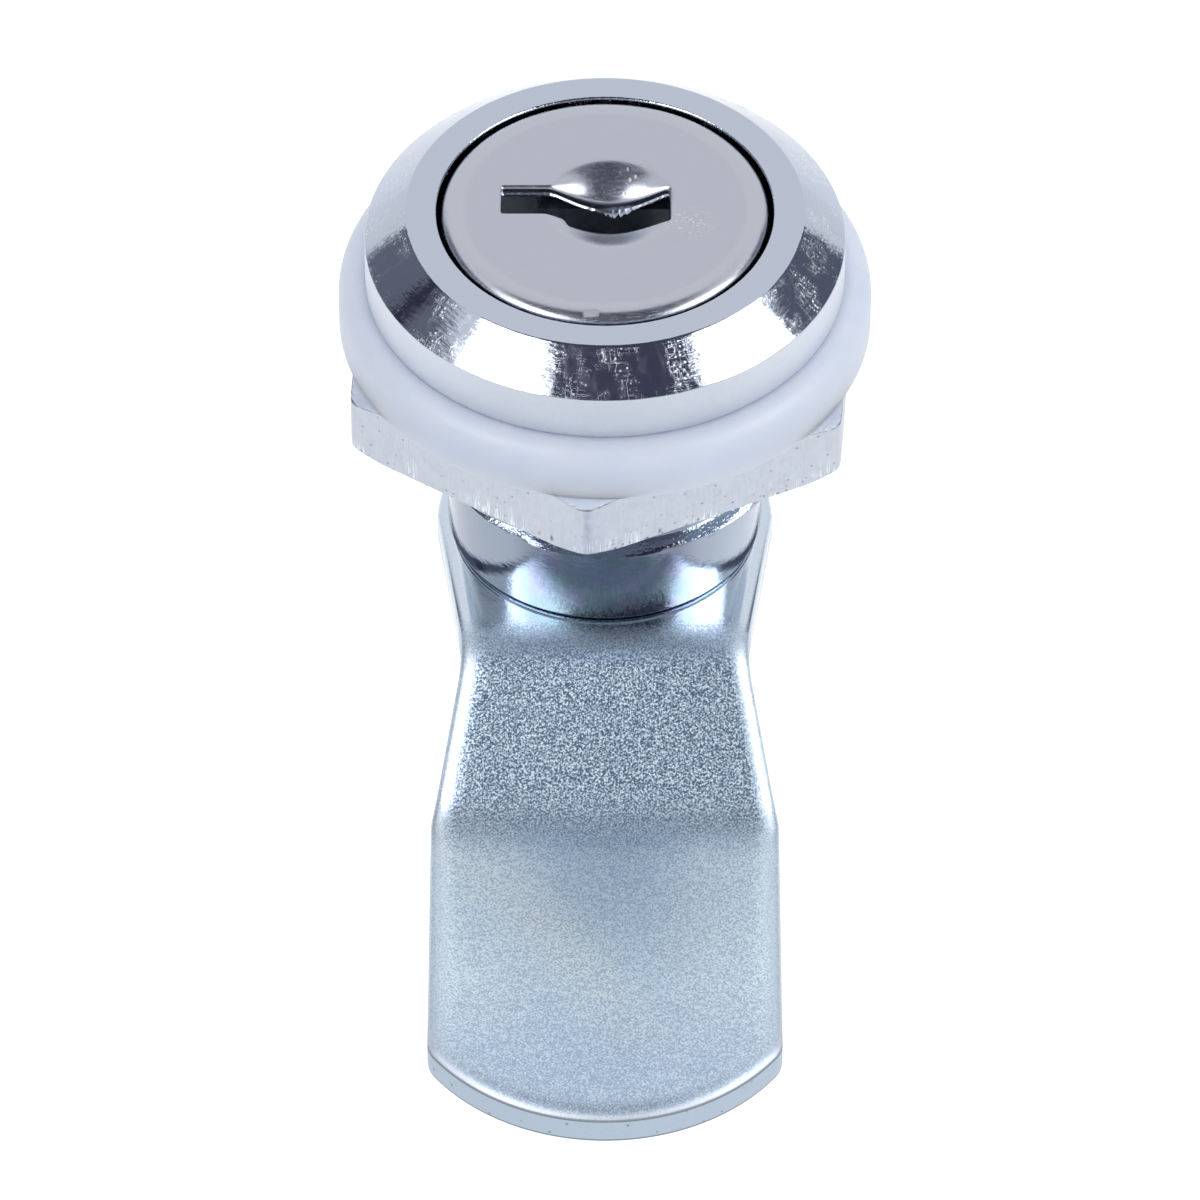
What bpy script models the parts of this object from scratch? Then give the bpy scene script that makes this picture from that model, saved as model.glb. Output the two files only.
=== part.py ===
"""Quarter-turn cam lock: threaded housing, wafer plug, washer, nut and cranked cam.

Units are metres, +Z runs along the lock's axis out of its face. The origin lies on the axis, in the
plane where the sealing washer meets the front of the panel. The cam points along -Y at rest.
"""
import math

import bmesh
import bpy
from mathutils import Vector

# Gaps between pieces that turn or slide, and between pieces that rest on each other
RUN_GAP = 0.00025
SEAT_GAP = 0.0003

# How far a cutting solid passes beyond what it cuts
CUTTER_OVERSHOOT = 0.0010

# Plug
PLUG_RADIUS = 0.0070
PLUG_HEAD_LIP = 0.00177
TAIL_SQUARE = 0.0075
TAIL_CORNER = 0.00075
TAIL_SHORTFALL = 0.0002
STOP_ANGLE = math.radians(45.0)
STOP_HALF_WIDTH = math.radians(10.0)
STOP_FREE_PLAY = math.radians(2.5)
STOP_HEIGHT = 0.0012
TURN_RANGE = math.radians(90.0)

# Wafers and their springs
WAFER_COUNT = 6
WAFER_PITCH = 0.0022
WAFER_DROP = 0.0026
WAFER_THICKNESS = 0.0010
WAFER_WIDTH = 0.0070
WAFER_TRAVEL = 0.0008
WINDOW_LEFT = -0.0044
WINDOW_RIGHT = 0.0034
WINDOW_CLEARANCE = 0.0002
BITTING_STEP = 0.00025
BITTING = (1, 3, 2, 0, 2, 1)
RETAINER_DROP = 0.0034
SPRING_INSET = 0.0008
SPRING_RADIUS = 0.0007
SPRING_WIRE_RADIUS = 0.00015
SPRING_TURNS = 4
SPRING_SHOULDER = 0.0018
POCKET_END = -0.0020
POCKET_GAP = 0.00015

# Face cap
CAP_SHEET = 0.00045
CAP_CLEARANCE = 0.00053
CAP_PROUD = 0.00015
CAP_EDGE_RADIUS = 0.0007
CAP_SKIRT = 0.00175
DIMPLE_CENTRE = (0.0003, 0.00035)
DIMPLE_RADIUS = 0.0039
DIMPLE_DEPTH = 0.0012
DIMPLE_SOFTNESS = 1.5
DIMPLE_RINGS = 10

# Keyway, seen from the face
KEYWAY_WALL = 0.0009
KEYWAY_RIGHT = 0.0038
KEYWAY_FAR = 0.0019
KEYWAY_NEAR = -0.0009
KEYWAY_WARD = 0.00055
KEYWAY_WARD_END = -0.0023
KEYWAY_CORNER = 0.0002
KEYWAY_MARGIN = 0.0001

# Housing: barrel walls round the plug, from the inside out; the thread comes to 22 mm
BARREL_WALL = 0.0010
BARREL_TAIL = 0.0037
BARREL_EDGE = 0.0003
THREAD_STEP = 0.00095
THREAD_DEPTH = 0.00075
THREAD_PITCH = 0.0015
THREAD_CREST = 0.0003
THREAD_REACH = 0.0093
FLAT_WALL = 0.0011

# Housing: flange
FACE_WIDTH = 0.00152
FLANGE_BEVEL_WIDTH = 0.00243
FLANGE_BEVEL_HEIGHT = 0.00208
FLANGE_RIM_HEIGHT = 0.00287
FLANGE_EDGE = 0.0002
RECESS_DEPTH = 0.00315

# Sealing washer, between the flange and the panel
WASHER_LEDGE = 0.00155
WASHER_THICKNESS = 0.0031
WASHER_EDGE_RADIUS = 0.0013

# Hex nut
NUT_WALL = 0.00325
NUT_HEIGHT = 0.0036
NUT_CHAMFER_WIDTH = 0.0010
NUT_CHAMFER_DROP = 0.0005
NUT_TURN = math.radians(-4.0)

# Cam, cut as a flat blank and then bent
CAM_SHEET = 0.0023
CAM_HEAD_LEDGE = 0.00065
CAM_WAIST = 0.0016
CAM_NECK_SETBACK = 0.00125
CAM_NECK_FILLET = 0.0080
CAM_TAPER_LENGTH = 0.0101
CAM_SHOULDER_FILLET = 0.0050
CAM_END_HALF_WIDTH = 0.0102
CAM_TIP_FLATTENING = 0.0020
CAM_BEND_SETBACK = 0.00025
CAM_UPPER_BEND_RADIUS = 0.0030
CAM_LOWER_BEND_RADIUS = 0.0060
CAM_BEND_ANGLE = math.radians(43.0)
CAM_STEP = 0.0068
CAM_REACH = 0.0426
CAM_EDGE_ROLL = 0.0009

# Cam screw and lock washer
SCREW_RADIUS = 0.0030
SCREW_WEB = 0.0004
SCREW_HEAD_LEDGE = 0.0020
SCREW_HEAD_HEIGHT = 0.0038
LOCK_WASHER_LEDGE = 0.00044
LOCK_WASHER_SHEET = 0.0010
LOCK_WASHER_RISE = 0.0003
LOCK_WASHER_SPLIT = math.radians(12.0)

# Facets of round pieces
ROUND_SEGMENTS = 48
SMALL_SEGMENTS = 24
SPRING_FACETS = 8
WAFER_ARC_STEPS = 8
BEND_STEPS = 6

# Radii that follow from the plug outwards
BORE_RADIUS = PLUG_RADIUS + RUN_GAP
GROOVE_RADIUS = BORE_RADIUS + WAFER_TRAVEL + RUN_GAP
BARREL_END_RADIUS = GROOVE_RADIUS + BARREL_WALL
THREAD_ROOT = BARREL_END_RADIUS + THREAD_STEP
THREAD_RADIUS = THREAD_ROOT + THREAD_DEPTH
FLAT_DISTANCE = GROOVE_RADIUS + FLAT_WALL
PLUG_HEAD_RADIUS = PLUG_RADIUS + PLUG_HEAD_LIP
CAP_RADIUS = PLUG_HEAD_RADIUS + RUN_GAP + CAP_SHEET
RECESS_RADIUS = CAP_RADIUS + CAP_CLEARANCE
FLANGE_FACE_RADIUS = RECESS_RADIUS + FACE_WIDTH
FLANGE_RADIUS = FLANGE_FACE_RADIUS + FLANGE_BEVEL_WIDTH
WASHER_RADIUS = FLANGE_RADIUS + WASHER_LEDGE
NUT_ACROSS_FLATS = 2 * (THREAD_RADIUS + NUT_WALL)
LOCK_WASHER_RADIUS = (TAIL_SQUARE / 2 + RUN_GAP) * math.sqrt(2) + LOCK_WASHER_LEDGE
SCREW_HEAD_FLATS = 2 * (SCREW_RADIUS + SCREW_HEAD_LEDGE)

# Places across the plug, and along the cam's flat blank from the axis
KEYWAY_LEFT = KEYWAY_WALL - PLUG_RADIUS
SPRING_Y = SPRING_INSET - WAFER_WIDTH / 2
CAM_HEAD_RADIUS = BARREL_END_RADIUS + CAM_HEAD_LEDGE
CAM_NECK_HALF_WIDTH = CAM_HEAD_RADIUS - CAM_WAIST
CAM_TIP_RADIUS = CAM_END_HALF_WIDTH + CAM_TIP_FLATTENING
CAM_BEND_AT = CAM_HEAD_RADIUS + CAM_BEND_SETBACK
CAM_UPPER_BEND_LENGTH = CAM_UPPER_BEND_RADIUS * CAM_BEND_ANGLE
CAM_LOWER_BEND_LENGTH = CAM_LOWER_BEND_RADIUS * CAM_BEND_ANGLE
CAM_NECK_AT = CAM_HEAD_RADIUS + CAM_NECK_SETBACK
CAM_SHOULDER_AT = CAM_NECK_AT + CAM_TAPER_LENGTH

# Heights that follow from the sizes above
FLANGE_SEAT = WASHER_THICKNESS + SEAT_GAP
RIM_TOP = FLANGE_SEAT + FLANGE_RIM_HEIGHT
FACE_HEIGHT = RIM_TOP + FLANGE_BEVEL_HEIGHT
RECESS_FLOOR = FACE_HEIGHT - RECESS_DEPTH
CAP_TOP = FACE_HEIGHT + CAP_PROUD
CAP_UNDERSIDE = CAP_TOP - CAP_SHEET
HEAD_TOP = CAP_UNDERSIDE - RUN_GAP
HEAD_UNDERSIDE = RECESS_FLOOR + RUN_GAP
WAFER_TOP = RECESS_FLOOR - WAFER_DROP
WAFER_BOTTOM = WAFER_TOP - (WAFER_COUNT - 1) * WAFER_PITCH
KEYWAY_END = WAFER_BOTTOM - WAFER_PITCH / 2
RETAINER_HEIGHT = WAFER_BOTTOM - RETAINER_DROP
BARREL_END = RETAINER_HEIGHT - BARREL_TAIL
CAM_TOP = BARREL_END - SEAT_GAP
CAM_UNDERSIDE = CAM_TOP - CAM_SHEET
LOCK_WASHER_TOP = CAM_UNDERSIDE - SEAT_GAP
SCREW_HEAD_TOP = LOCK_WASHER_TOP - LOCK_WASHER_SHEET - LOCK_WASHER_RISE - SEAT_GAP
SCREW_HOLE_TOP = RETAINER_HEIGHT - SPRING_RADIUS - POCKET_GAP - SCREW_WEB
SCREW_TIP = SCREW_HOLE_TOP - SEAT_GAP


def clear_scene():
    for item in list(bpy.data.objects):
        bpy.data.objects.remove(item, do_unlink=True)


def make_material(name, colour, metallic, roughness):
    material = bpy.data.materials.new(name)
    material.use_nodes = True
    shader = material.node_tree.nodes["Principled BSDF"]
    shader.inputs["Base Color"].default_value = (*colour, 1.0)
    shader.inputs["Metallic"].default_value = metallic
    shader.inputs["Roughness"].default_value = roughness
    material.diffuse_color = (*colour, 1.0)
    return material


def add_object(name, bm, material=None, location=(0.0, 0.0, 0.0), parent=None, smooth=True):
    """Close a bmesh into a named object, shaded smooth up to 30 degrees."""
    bmesh.ops.recalc_face_normals(bm, faces=bm.faces[:])
    mesh = bpy.data.meshes.new(name)
    bm.to_mesh(mesh)
    bm.free()
    if smooth:
        mesh.shade_smooth()
        mesh.set_sharp_from_angle(angle=math.radians(30.0))
    item = bpy.data.objects.new(name, mesh)
    bpy.context.scene.collection.objects.link(item)
    item.location = location
    item.parent = parent
    if material:
        mesh.materials.append(material)
    return item


def add_boolean(target, tool, operation="DIFFERENCE"):
    """Cut, join or intersect a piece with a hidden tool solid that follows the same parent."""
    tool.hide_render = True
    tool.display_type = "WIRE"
    modifier = target.modifiers.new(tool.name, "BOOLEAN")
    modifier.operation = operation
    modifier.solver = "EXACT"
    modifier.object = tool


def arc(centre, radius, start, end, steps):
    """Points on an arc from one angle to another, both ends included."""
    points = []
    for step in range(steps + 1):
        angle = start + (end - start) * step / steps
        points.append((centre[0] + radius * math.cos(angle), centre[1] + radius * math.sin(angle)))
    return points


def circle(radius, segments, centre=(0.0, 0.0)):
    return arc(centre, radius, 0.0, math.tau * (segments - 1) / segments, segments - 1)


def regular_hexagon(across_flats, turn=0.0):
    corner_radius = across_flats / 2 / math.cos(math.pi / 6)
    angles = [turn + math.pi * (k / 3 - 0.5) for k in range(6)]
    return [(corner_radius * math.cos(angle), corner_radius * math.sin(angle)) for angle in angles]


def rounded(corners, steps=5):
    """A closed outline from (x, y, radius) corners, each turned by an arc tangent to both sides."""
    points = []
    for index, (x, y, radius) in enumerate(corners):
        here = Vector((x, y))
        before = Vector(corners[index - 1][:2]) - here
        after = Vector(corners[(index + 1) % len(corners)][:2]) - here
        if radius == 0.0:
            points.append((x, y))
            continue
        before.normalize()
        after.normalize()
        half = before.angle(after) / 2
        bisector = (before + after).normalized()
        centre = here + bisector * (radius / math.sin(half))
        first = here + before * (radius / math.tan(half)) - centre
        sweep = math.pi - 2 * half
        turn = 1.0 if before.x * after.y - before.y * after.x < 0.0 else -1.0
        start = math.atan2(first.y, first.x)
        points += arc(centre, radius, start, start + turn * sweep, steps)
    return points


def plate(outline, holes, low, high):
    """A flat plate between two heights, from an outline with holes in it."""
    bm = bmesh.new()
    edges = []
    for loop in (outline, *holes):
        ring = [bm.verts.new((x, y, low)) for x, y in loop]
        edges += [bm.edges.new((ring[k - 1], ring[k])) for k in range(len(ring))]
    bmesh.ops.triangle_fill(bm, use_beauty=True, edges=edges)
    bmesh.ops.recalc_face_normals(bm, faces=bm.faces[:])
    lifted = bmesh.ops.extrude_face_region(bm, geom=bm.faces[:])
    moved = [element for element in lifted["geom"] if isinstance(element, bmesh.types.BMVert)]
    bmesh.ops.translate(bm, verts=moved, vec=(0.0, 0.0, high - low))
    return bm


def box(low, high):
    (x0, y0, z0), (x1, y1, z1) = low, high
    return plate([(x0, y0), (x1, y0), (x1, y1), (x0, y1)], [], z0, z1)


def merge_into(target, source):
    """Copy one bmesh's faces into another, as a separate closed piece of it."""
    mesh = bpy.data.meshes.new("joined")
    source.to_mesh(mesh)
    source.free()
    target.from_mesh(mesh)
    bpy.data.meshes.remove(mesh)


def lathe(profile, segments, closed):
    """Turn an (r, z) profile about the Z axis; an open profile starts and ends on the axis."""
    bm = bmesh.new()
    ring = [bm.verts.new((radius, 0.0, height)) for radius, height in profile]
    edges = [bm.edges.new(pair) for pair in zip(ring, ring[1:])]
    if closed:
        edges.append(bm.edges.new((ring[-1], ring[0])))
    bmesh.ops.spin(
        bm, geom=ring + edges, cent=(0, 0, 0), axis=(0, 0, 1), angle=math.tau, steps=segments, use_merge=True
    )
    bmesh.ops.remove_doubles(bm, verts=bm.verts[:], dist=1e-7)
    return bm


def loft(rings):
    """Skin a row of equal loops and close both ends."""
    bm = bmesh.new()
    rows = [[bm.verts.new(point) for point in ring] for ring in rings]
    for row, following in zip(rows, rows[1:]):
        for k in range(len(row)):
            bm.faces.new((row[k - 1], row[k], following[k], following[k - 1]))
    bm.faces.new(rows[0])
    bm.faces.new(rows[-1])
    return bm


def cylinder_along_x(radius, start, end, centre_y, centre_z, segments):
    ring = circle(radius, segments)
    return loft([[(x, centre_y + u, centre_z + v) for u, v in ring] for x in (start, end)])


def sector(inner, outer, start, end, low, high):
    """A prism over part of a ring."""
    steps = max(2, round((end - start) * ROUND_SEGMENTS / math.tau))
    outline = arc((0, 0), outer, start, end, steps) + arc((0, 0), inner, end, start, steps)
    return plate(outline, [], low, high)


def keyway_outline(margin=0.0):
    """The key slot as seen from the face, with the ward that narrows its left part."""
    left = KEYWAY_LEFT - margin
    right = KEYWAY_RIGHT + margin
    far = KEYWAY_FAR + margin
    near = KEYWAY_NEAR - margin
    ward = near + KEYWAY_WARD
    ward_end = KEYWAY_WARD_END - margin
    places = [
        (left, ward),
        (ward_end, ward),
        (ward_end + KEYWAY_WARD, near),
        (right, near),
        (right, far),
        (left, far),
    ]
    return rounded([(x, y, KEYWAY_CORNER) for x, y in places], steps=3)


def dimple_depth(x, y):
    """How far the pressed round dish about the slot lowers the face at a point."""
    reach = math.hypot(x - DIMPLE_CENTRE[0], y - DIMPLE_CENTRE[1]) / DIMPLE_RADIUS
    return DIMPLE_DEPTH * max(0.0, 1.0 - reach * reach) ** DIMPLE_SOFTNESS


def thread_profile():
    """Rings of thread from under the flange to the thread's end, top to bottom."""
    flank = (THREAD_PITCH - THREAD_CREST) / 2
    count = int((FLANGE_SEAT + THREAD_REACH - THREAD_PITCH) / THREAD_PITCH)
    top = -THREAD_REACH + THREAD_DEPTH + count * THREAD_PITCH
    points = [(THREAD_ROOT, FLANGE_SEAT), (THREAD_ROOT, top + flank)]
    for turn in range(count):
        crest = top - turn * THREAD_PITCH
        points += [(THREAD_RADIUS, crest), (THREAD_RADIUS, crest - THREAD_CREST)]
        if turn < count - 1:
            points.append((THREAD_ROOT, crest - THREAD_CREST - flank))
    points.append((THREAD_ROOT, -THREAD_REACH))
    return points


def build_housing(material):
    outer = [
        (FLANGE_RADIUS - FLANGE_EDGE, FLANGE_SEAT),
        (FLANGE_RADIUS, FLANGE_SEAT + FLANGE_EDGE),
        (FLANGE_RADIUS, RIM_TOP),
        (FLANGE_FACE_RADIUS + FLANGE_EDGE, FACE_HEIGHT - FLANGE_EDGE / 2),
        (FLANGE_FACE_RADIUS - FLANGE_EDGE, FACE_HEIGHT),
        (RECESS_RADIUS + FLANGE_EDGE, FACE_HEIGHT),
        (RECESS_RADIUS, FACE_HEIGHT - FLANGE_EDGE),
        (RECESS_RADIUS, RECESS_FLOOR),
    ]
    groove_half = WAFER_THICKNESS / 2 + RUN_GAP
    inner = [
        (BORE_RADIUS, RECESS_FLOOR),
        (BORE_RADIUS, RETAINER_HEIGHT + groove_half),
        (GROOVE_RADIUS, RETAINER_HEIGHT + groove_half),
        (GROOVE_RADIUS, RETAINER_HEIGHT - groove_half),
        (BORE_RADIUS, RETAINER_HEIGHT - groove_half),
        (BORE_RADIUS, BARREL_END + BARREL_EDGE),
        (BORE_RADIUS + BARREL_EDGE, BARREL_END),
    ]
    barrel = [
        (BARREL_END_RADIUS - BARREL_EDGE, BARREL_END),
        (BARREL_END_RADIUS, BARREL_END + BARREL_EDGE),
        (BARREL_END_RADIUS, -THREAD_REACH),
    ]
    profile = outer + inner + barrel + thread_profile()[::-1]
    housing = add_object("housing", lathe(profile, ROUND_SEGMENTS, closed=True), material)

    flats = bmesh.new()
    beyond = THREAD_RADIUS + CUTTER_OVERSHOOT
    for side in (-1, 1):
        reach = sorted((side * FLAT_DISTANCE, side * beyond))
        low = (reach[0], -beyond, -THREAD_REACH - SEAT_GAP)
        high = (reach[1], beyond, FLANGE_SEAT - FLANGE_EDGE)
        merge_into(flats, box(low, high))
    add_boolean(housing, add_object("cut_flats", flats))

    half = WAFER_WIDTH / 2 + RUN_GAP
    low = KEYWAY_END - RUN_GAP
    high = WAFER_TOP + WAFER_THICKNESS / 2 + RUN_GAP
    across = box((-GROOVE_RADIUS, -half, low), (GROOVE_RADIUS, half, high))
    along = box((-half, -GROOVE_RADIUS, low), (half, GROOVE_RADIUS, high))
    add_boolean(housing, add_object("cut_locked_grooves", across))
    add_boolean(housing, add_object("cut_turned_grooves", along))

    overlap = FLANGE_EDGE
    lug = sector(
        BORE_RADIUS + 2 * RUN_GAP,
        RECESS_RADIUS + overlap,
        STOP_ANGLE - STOP_HALF_WIDTH,
        STOP_ANGLE + STOP_HALF_WIDTH,
        RECESS_FLOOR - overlap,
        RECESS_FLOOR + STOP_HEIGHT,
    )
    add_boolean(housing, add_object("join_stop_lug", lug), "UNION")


def build_washer(material):
    hole = THREAD_RADIUS + RUN_GAP
    edge = arc(
        (WASHER_RADIUS - WASHER_EDGE_RADIUS, WASHER_THICKNESS - WASHER_EDGE_RADIUS),
        WASHER_EDGE_RADIUS,
        0.0,
        math.pi / 2,
        5,
    )
    profile = [(hole, 0.0), (WASHER_RADIUS, 0.0), *edge, (hole, WASHER_THICKNESS)]
    add_object("sealing_washer", lathe(profile, ROUND_SEGMENTS, closed=True), material)


def build_nut(material):
    top = -SEAT_GAP
    bottom = top - NUT_HEIGHT
    hole = circle(THREAD_RADIUS + RUN_GAP, ROUND_SEGMENTS)
    hexagon = regular_hexagon(NUT_ACROSS_FLATS, NUT_TURN)
    nut = add_object("hex_nut", plate(hexagon, [hole], bottom, top), material)
    face_radius = NUT_ACROSS_FLATS / 2
    corner_radius = face_radius / math.cos(math.pi / 6)
    start_radius = corner_radius - NUT_CHAMFER_WIDTH
    clear_radius = corner_radius + NUT_CHAMFER_WIDTH
    clear_drop = 2 * NUT_CHAMFER_DROP
    turned = [
        (0.0, bottom),
        (start_radius, bottom),
        (clear_radius, bottom + clear_drop),
        (clear_radius, top - clear_drop),
        (start_radius, top),
        (0.0, top),
    ]
    chamfers = add_object("keep_nut_chamfers", lathe(turned, ROUND_SEGMENTS, closed=False))
    add_boolean(nut, chamfers, "INTERSECT")


def wafer_heights():
    return [WAFER_TOP - index * WAFER_PITCH for index in range(WAFER_COUNT)]


def wafer_side(index):
    """Wafers lock alternately towards +X and -X."""
    return 1 if index % 2 == 0 else -1


def build_plug(material, parent):
    edge = BARREL_EDGE
    profile = [
        (0.0, HEAD_TOP),
        (PLUG_HEAD_RADIUS - edge, HEAD_TOP),
        (PLUG_HEAD_RADIUS, HEAD_TOP - edge),
        (PLUG_HEAD_RADIUS, HEAD_UNDERSIDE),
        (PLUG_RADIUS, HEAD_UNDERSIDE),
        (PLUG_RADIUS, BARREL_END),
        (0.0, BARREL_END),
    ]
    plug = add_object("plug", lathe(profile, ROUND_SEGMENTS, closed=False), material, parent=parent)

    half = TAIL_SQUARE / 2
    corners = [(half, half), (-half, half), (-half, -half), (half, -half)]
    square = rounded([(x, y, TAIL_CORNER) for x, y in corners], steps=2)
    tail = plate(square, [], CAM_UNDERSIDE + TAIL_SHORTFALL, BARREL_END + edge)
    add_boolean(plug, add_object("join_tail", tail, parent=parent), "UNION")

    hole = circle(SCREW_RADIUS + RUN_GAP, SMALL_SEGMENTS)
    screw_hole = plate(hole, [], CAM_UNDERSIDE - CUTTER_OVERSHOOT, SCREW_HOLE_TOP)
    add_boolean(plug, add_object("cut_screw_hole", screw_hole, parent=parent))

    clear = CAP_SHEET + RUN_GAP
    reach = DIMPLE_RADIUS + clear
    floor = CAP_TOP - DIMPLE_DEPTH - clear
    pocket = plate(circle(reach, SMALL_SEGMENTS, DIMPLE_CENTRE), [], floor, HEAD_TOP + SEAT_GAP)
    add_boolean(plug, add_object("cut_dimple_pocket", pocket, parent=parent))

    keyway = plate(keyway_outline(KEYWAY_MARGIN), [], KEYWAY_END, CAP_TOP)
    add_boolean(plug, add_object("cut_keyway", keyway, parent=parent))

    notch = sector(
        BORE_RADIUS + RUN_GAP,
        PLUG_HEAD_RADIUS + RUN_GAP,
        STOP_ANGLE - STOP_HALF_WIDTH - STOP_FREE_PLAY - TURN_RANGE,
        STOP_ANGLE + STOP_HALF_WIDTH + STOP_FREE_PLAY,
        HEAD_UNDERSIDE - SEAT_GAP,
        RECESS_FLOOR + STOP_HEIGHT + RUN_GAP,
    )
    add_boolean(plug, add_object("cut_stop_notch", notch, parent=parent))

    half_slot = WAFER_WIDTH / 2 + RUN_GAP - POCKET_GAP / 3
    half_thick = WAFER_THICKNESS / 2 + POCKET_GAP
    slots = bmesh.new()
    pockets = bmesh.new()
    places = [(height, wafer_side(index)) for index, height in enumerate(wafer_heights())]
    for height, side in places + [(RETAINER_HEIGHT, 1)]:
        low = (-PLUG_RADIUS - RUN_GAP, -half_slot, height - half_thick)
        high = (PLUG_RADIUS + RUN_GAP, half_slot, height + half_thick)
        merge_into(slots, box(low, high))
        ends = sorted((side * POCKET_END, side * (SPRING_SHOULDER + WAFER_TRAVEL + POCKET_GAP)))
        merge_into(pockets, cylinder_along_x(SPRING_RADIUS + POCKET_GAP, *ends, SPRING_Y, height, 12))
    add_boolean(plug, add_object("cut_wafer_slots", slots, parent=parent))
    add_boolean(plug, add_object("cut_spring_pockets", pockets, parent=parent))


def cap_profile():
    """The cap's section: face from the axis out, rolled edge, skirt, and back under the face."""
    flat_end = CAP_RADIUS - CAP_EDGE_RADIUS
    dimple_reach = DIMPLE_RADIUS + math.hypot(*DIMPLE_CENTRE)
    rings = [dimple_reach * step / DIMPLE_RINGS for step in range(DIMPLE_RINGS + 1)] + [flat_end]
    roll_centre = (flat_end, CAP_TOP - CAP_EDGE_RADIUS)
    outer_roll = arc(roll_centre, CAP_EDGE_RADIUS, math.pi / 2, 0.0, 4)[1:]
    inner_roll = arc(roll_centre, CAP_EDGE_RADIUS - CAP_SHEET, 0.0, math.pi / 2, 2)[:-1]
    skirt_end = CAP_TOP - CAP_SKIRT
    return (
        [(radius, CAP_TOP) for radius in rings]
        + outer_roll
        + [(CAP_RADIUS, skirt_end), (CAP_RADIUS - CAP_SHEET, skirt_end)]
        + inner_roll
        + [(radius, CAP_UNDERSIDE) for radius in reversed(rings)]
    )


def build_face_cap(material, parent):
    bm = lathe(cap_profile(), ROUND_SEGMENTS, closed=False)
    for vertex in bm.verts:
        vertex.co.z -= dimple_depth(vertex.co.x, vertex.co.y)
    cap = add_object("face_cap", bm, material, parent=parent)
    slot = plate(keyway_outline(), [], CAP_UNDERSIDE - DIMPLE_DEPTH - SEAT_GAP, CAP_TOP + SEAT_GAP)
    add_boolean(cap, add_object("cut_key_slot", slot, parent=parent))


def wafer_outline(side):
    """A plate that fills the plug's width, with round ends and a notch for its spring."""
    radius = PLUG_RADIUS - POCKET_GAP
    half = WAFER_WIDTH / 2
    end = math.asin(half / radius)
    notch_y = SPRING_Y + SPRING_RADIUS + POCKET_GAP
    notch_back = POCKET_END - WAFER_TRAVEL - POCKET_GAP
    points = arc((0, 0), radius, -end, end, WAFER_ARC_STEPS)
    points += arc((0, 0), radius, math.pi - end, math.pi + end, WAFER_ARC_STEPS)
    points += [
        (notch_back, -half),
        (notch_back, notch_y),
        (SPRING_SHOULDER, notch_y),
        (SPRING_SHOULDER, -half),
    ]
    return [(side * x, y) for x, y in points][::side]


def build_wafer(name, height, side, window, offset, material, parent):
    """One wafer, its length along X; offset is how far it already stands out of the plug."""
    bm = plate(wafer_outline(side), window, -WAFER_THICKNESS / 2, WAFER_THICKNESS / 2)
    add_object(name, bm, material, (side * offset, 0.0, height), parent, smooth=False)


def build_spring(name, height, side, offset, material, parent):
    """A coil spring along X, from the pocket's end to the wafer's shoulder."""
    inset = POCKET_GAP + SPRING_WIRE_RADIUS
    start = POCKET_END + inset
    end = SPRING_SHOULDER + offset - inset
    coil_radius = SPRING_RADIUS - SPRING_WIRE_RADIUS
    count = SPRING_TURNS * SPRING_FACETS
    curve = bpy.data.curves.new(name, "CURVE")
    curve.dimensions = "3D"
    curve.bevel_depth = SPRING_WIRE_RADIUS
    curve.bevel_resolution = 1
    curve.use_fill_caps = True
    spline = curve.splines.new("POLY")
    spline.points.add(count)
    for k, point in enumerate(spline.points):
        angle = math.tau * k / SPRING_FACETS
        x = side * (start + (end - start) * k / count)
        point.co = (x, coil_radius * math.cos(angle), coil_radius * math.sin(angle), 1.0)
    curve.materials.append(material)
    spring = bpy.data.objects.new(name, curve)
    bpy.context.scene.collection.objects.link(spring)
    spring.location = (0.0, SPRING_Y, height)
    spring.parent = parent


def build_wafer_stack(wafer_material, spring_material, parent):
    low_y = KEYWAY_NEAR - WINDOW_CLEARANCE
    high_y = KEYWAY_FAR + WINDOW_CLEARANCE
    for index, height in enumerate(wafer_heights()):
        side = wafer_side(index)
        shift = (BITTING[index % len(BITTING)] - 1) * BITTING_STEP
        left = WINDOW_LEFT + shift
        right = WINDOW_RIGHT + shift - BITTING_STEP
        window = [(left, low_y), (right, low_y), (right, high_y), (left, high_y)]
        build_wafer(f"wafer_{index + 1}", height, side, [window], 0.0, wafer_material, parent)
        build_spring(f"wafer_spring_{index + 1}", height, side, 0.0, spring_material, parent)
    build_wafer("retaining_wafer", RETAINER_HEIGHT, 1, [], WAFER_TRAVEL, wafer_material, parent)
    build_spring("retaining_spring", RETAINER_HEIGHT, 1, WAFER_TRAVEL, spring_material, parent)


def cam_slant_length():
    """Length of the cam's straight slanted part, between its two bends."""
    bend_drop = (CAM_UPPER_BEND_RADIUS + CAM_LOWER_BEND_RADIUS) * (1 - math.cos(CAM_BEND_ANGLE))
    return (CAM_STEP - bend_drop) / math.sin(CAM_BEND_ANGLE)


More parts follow.
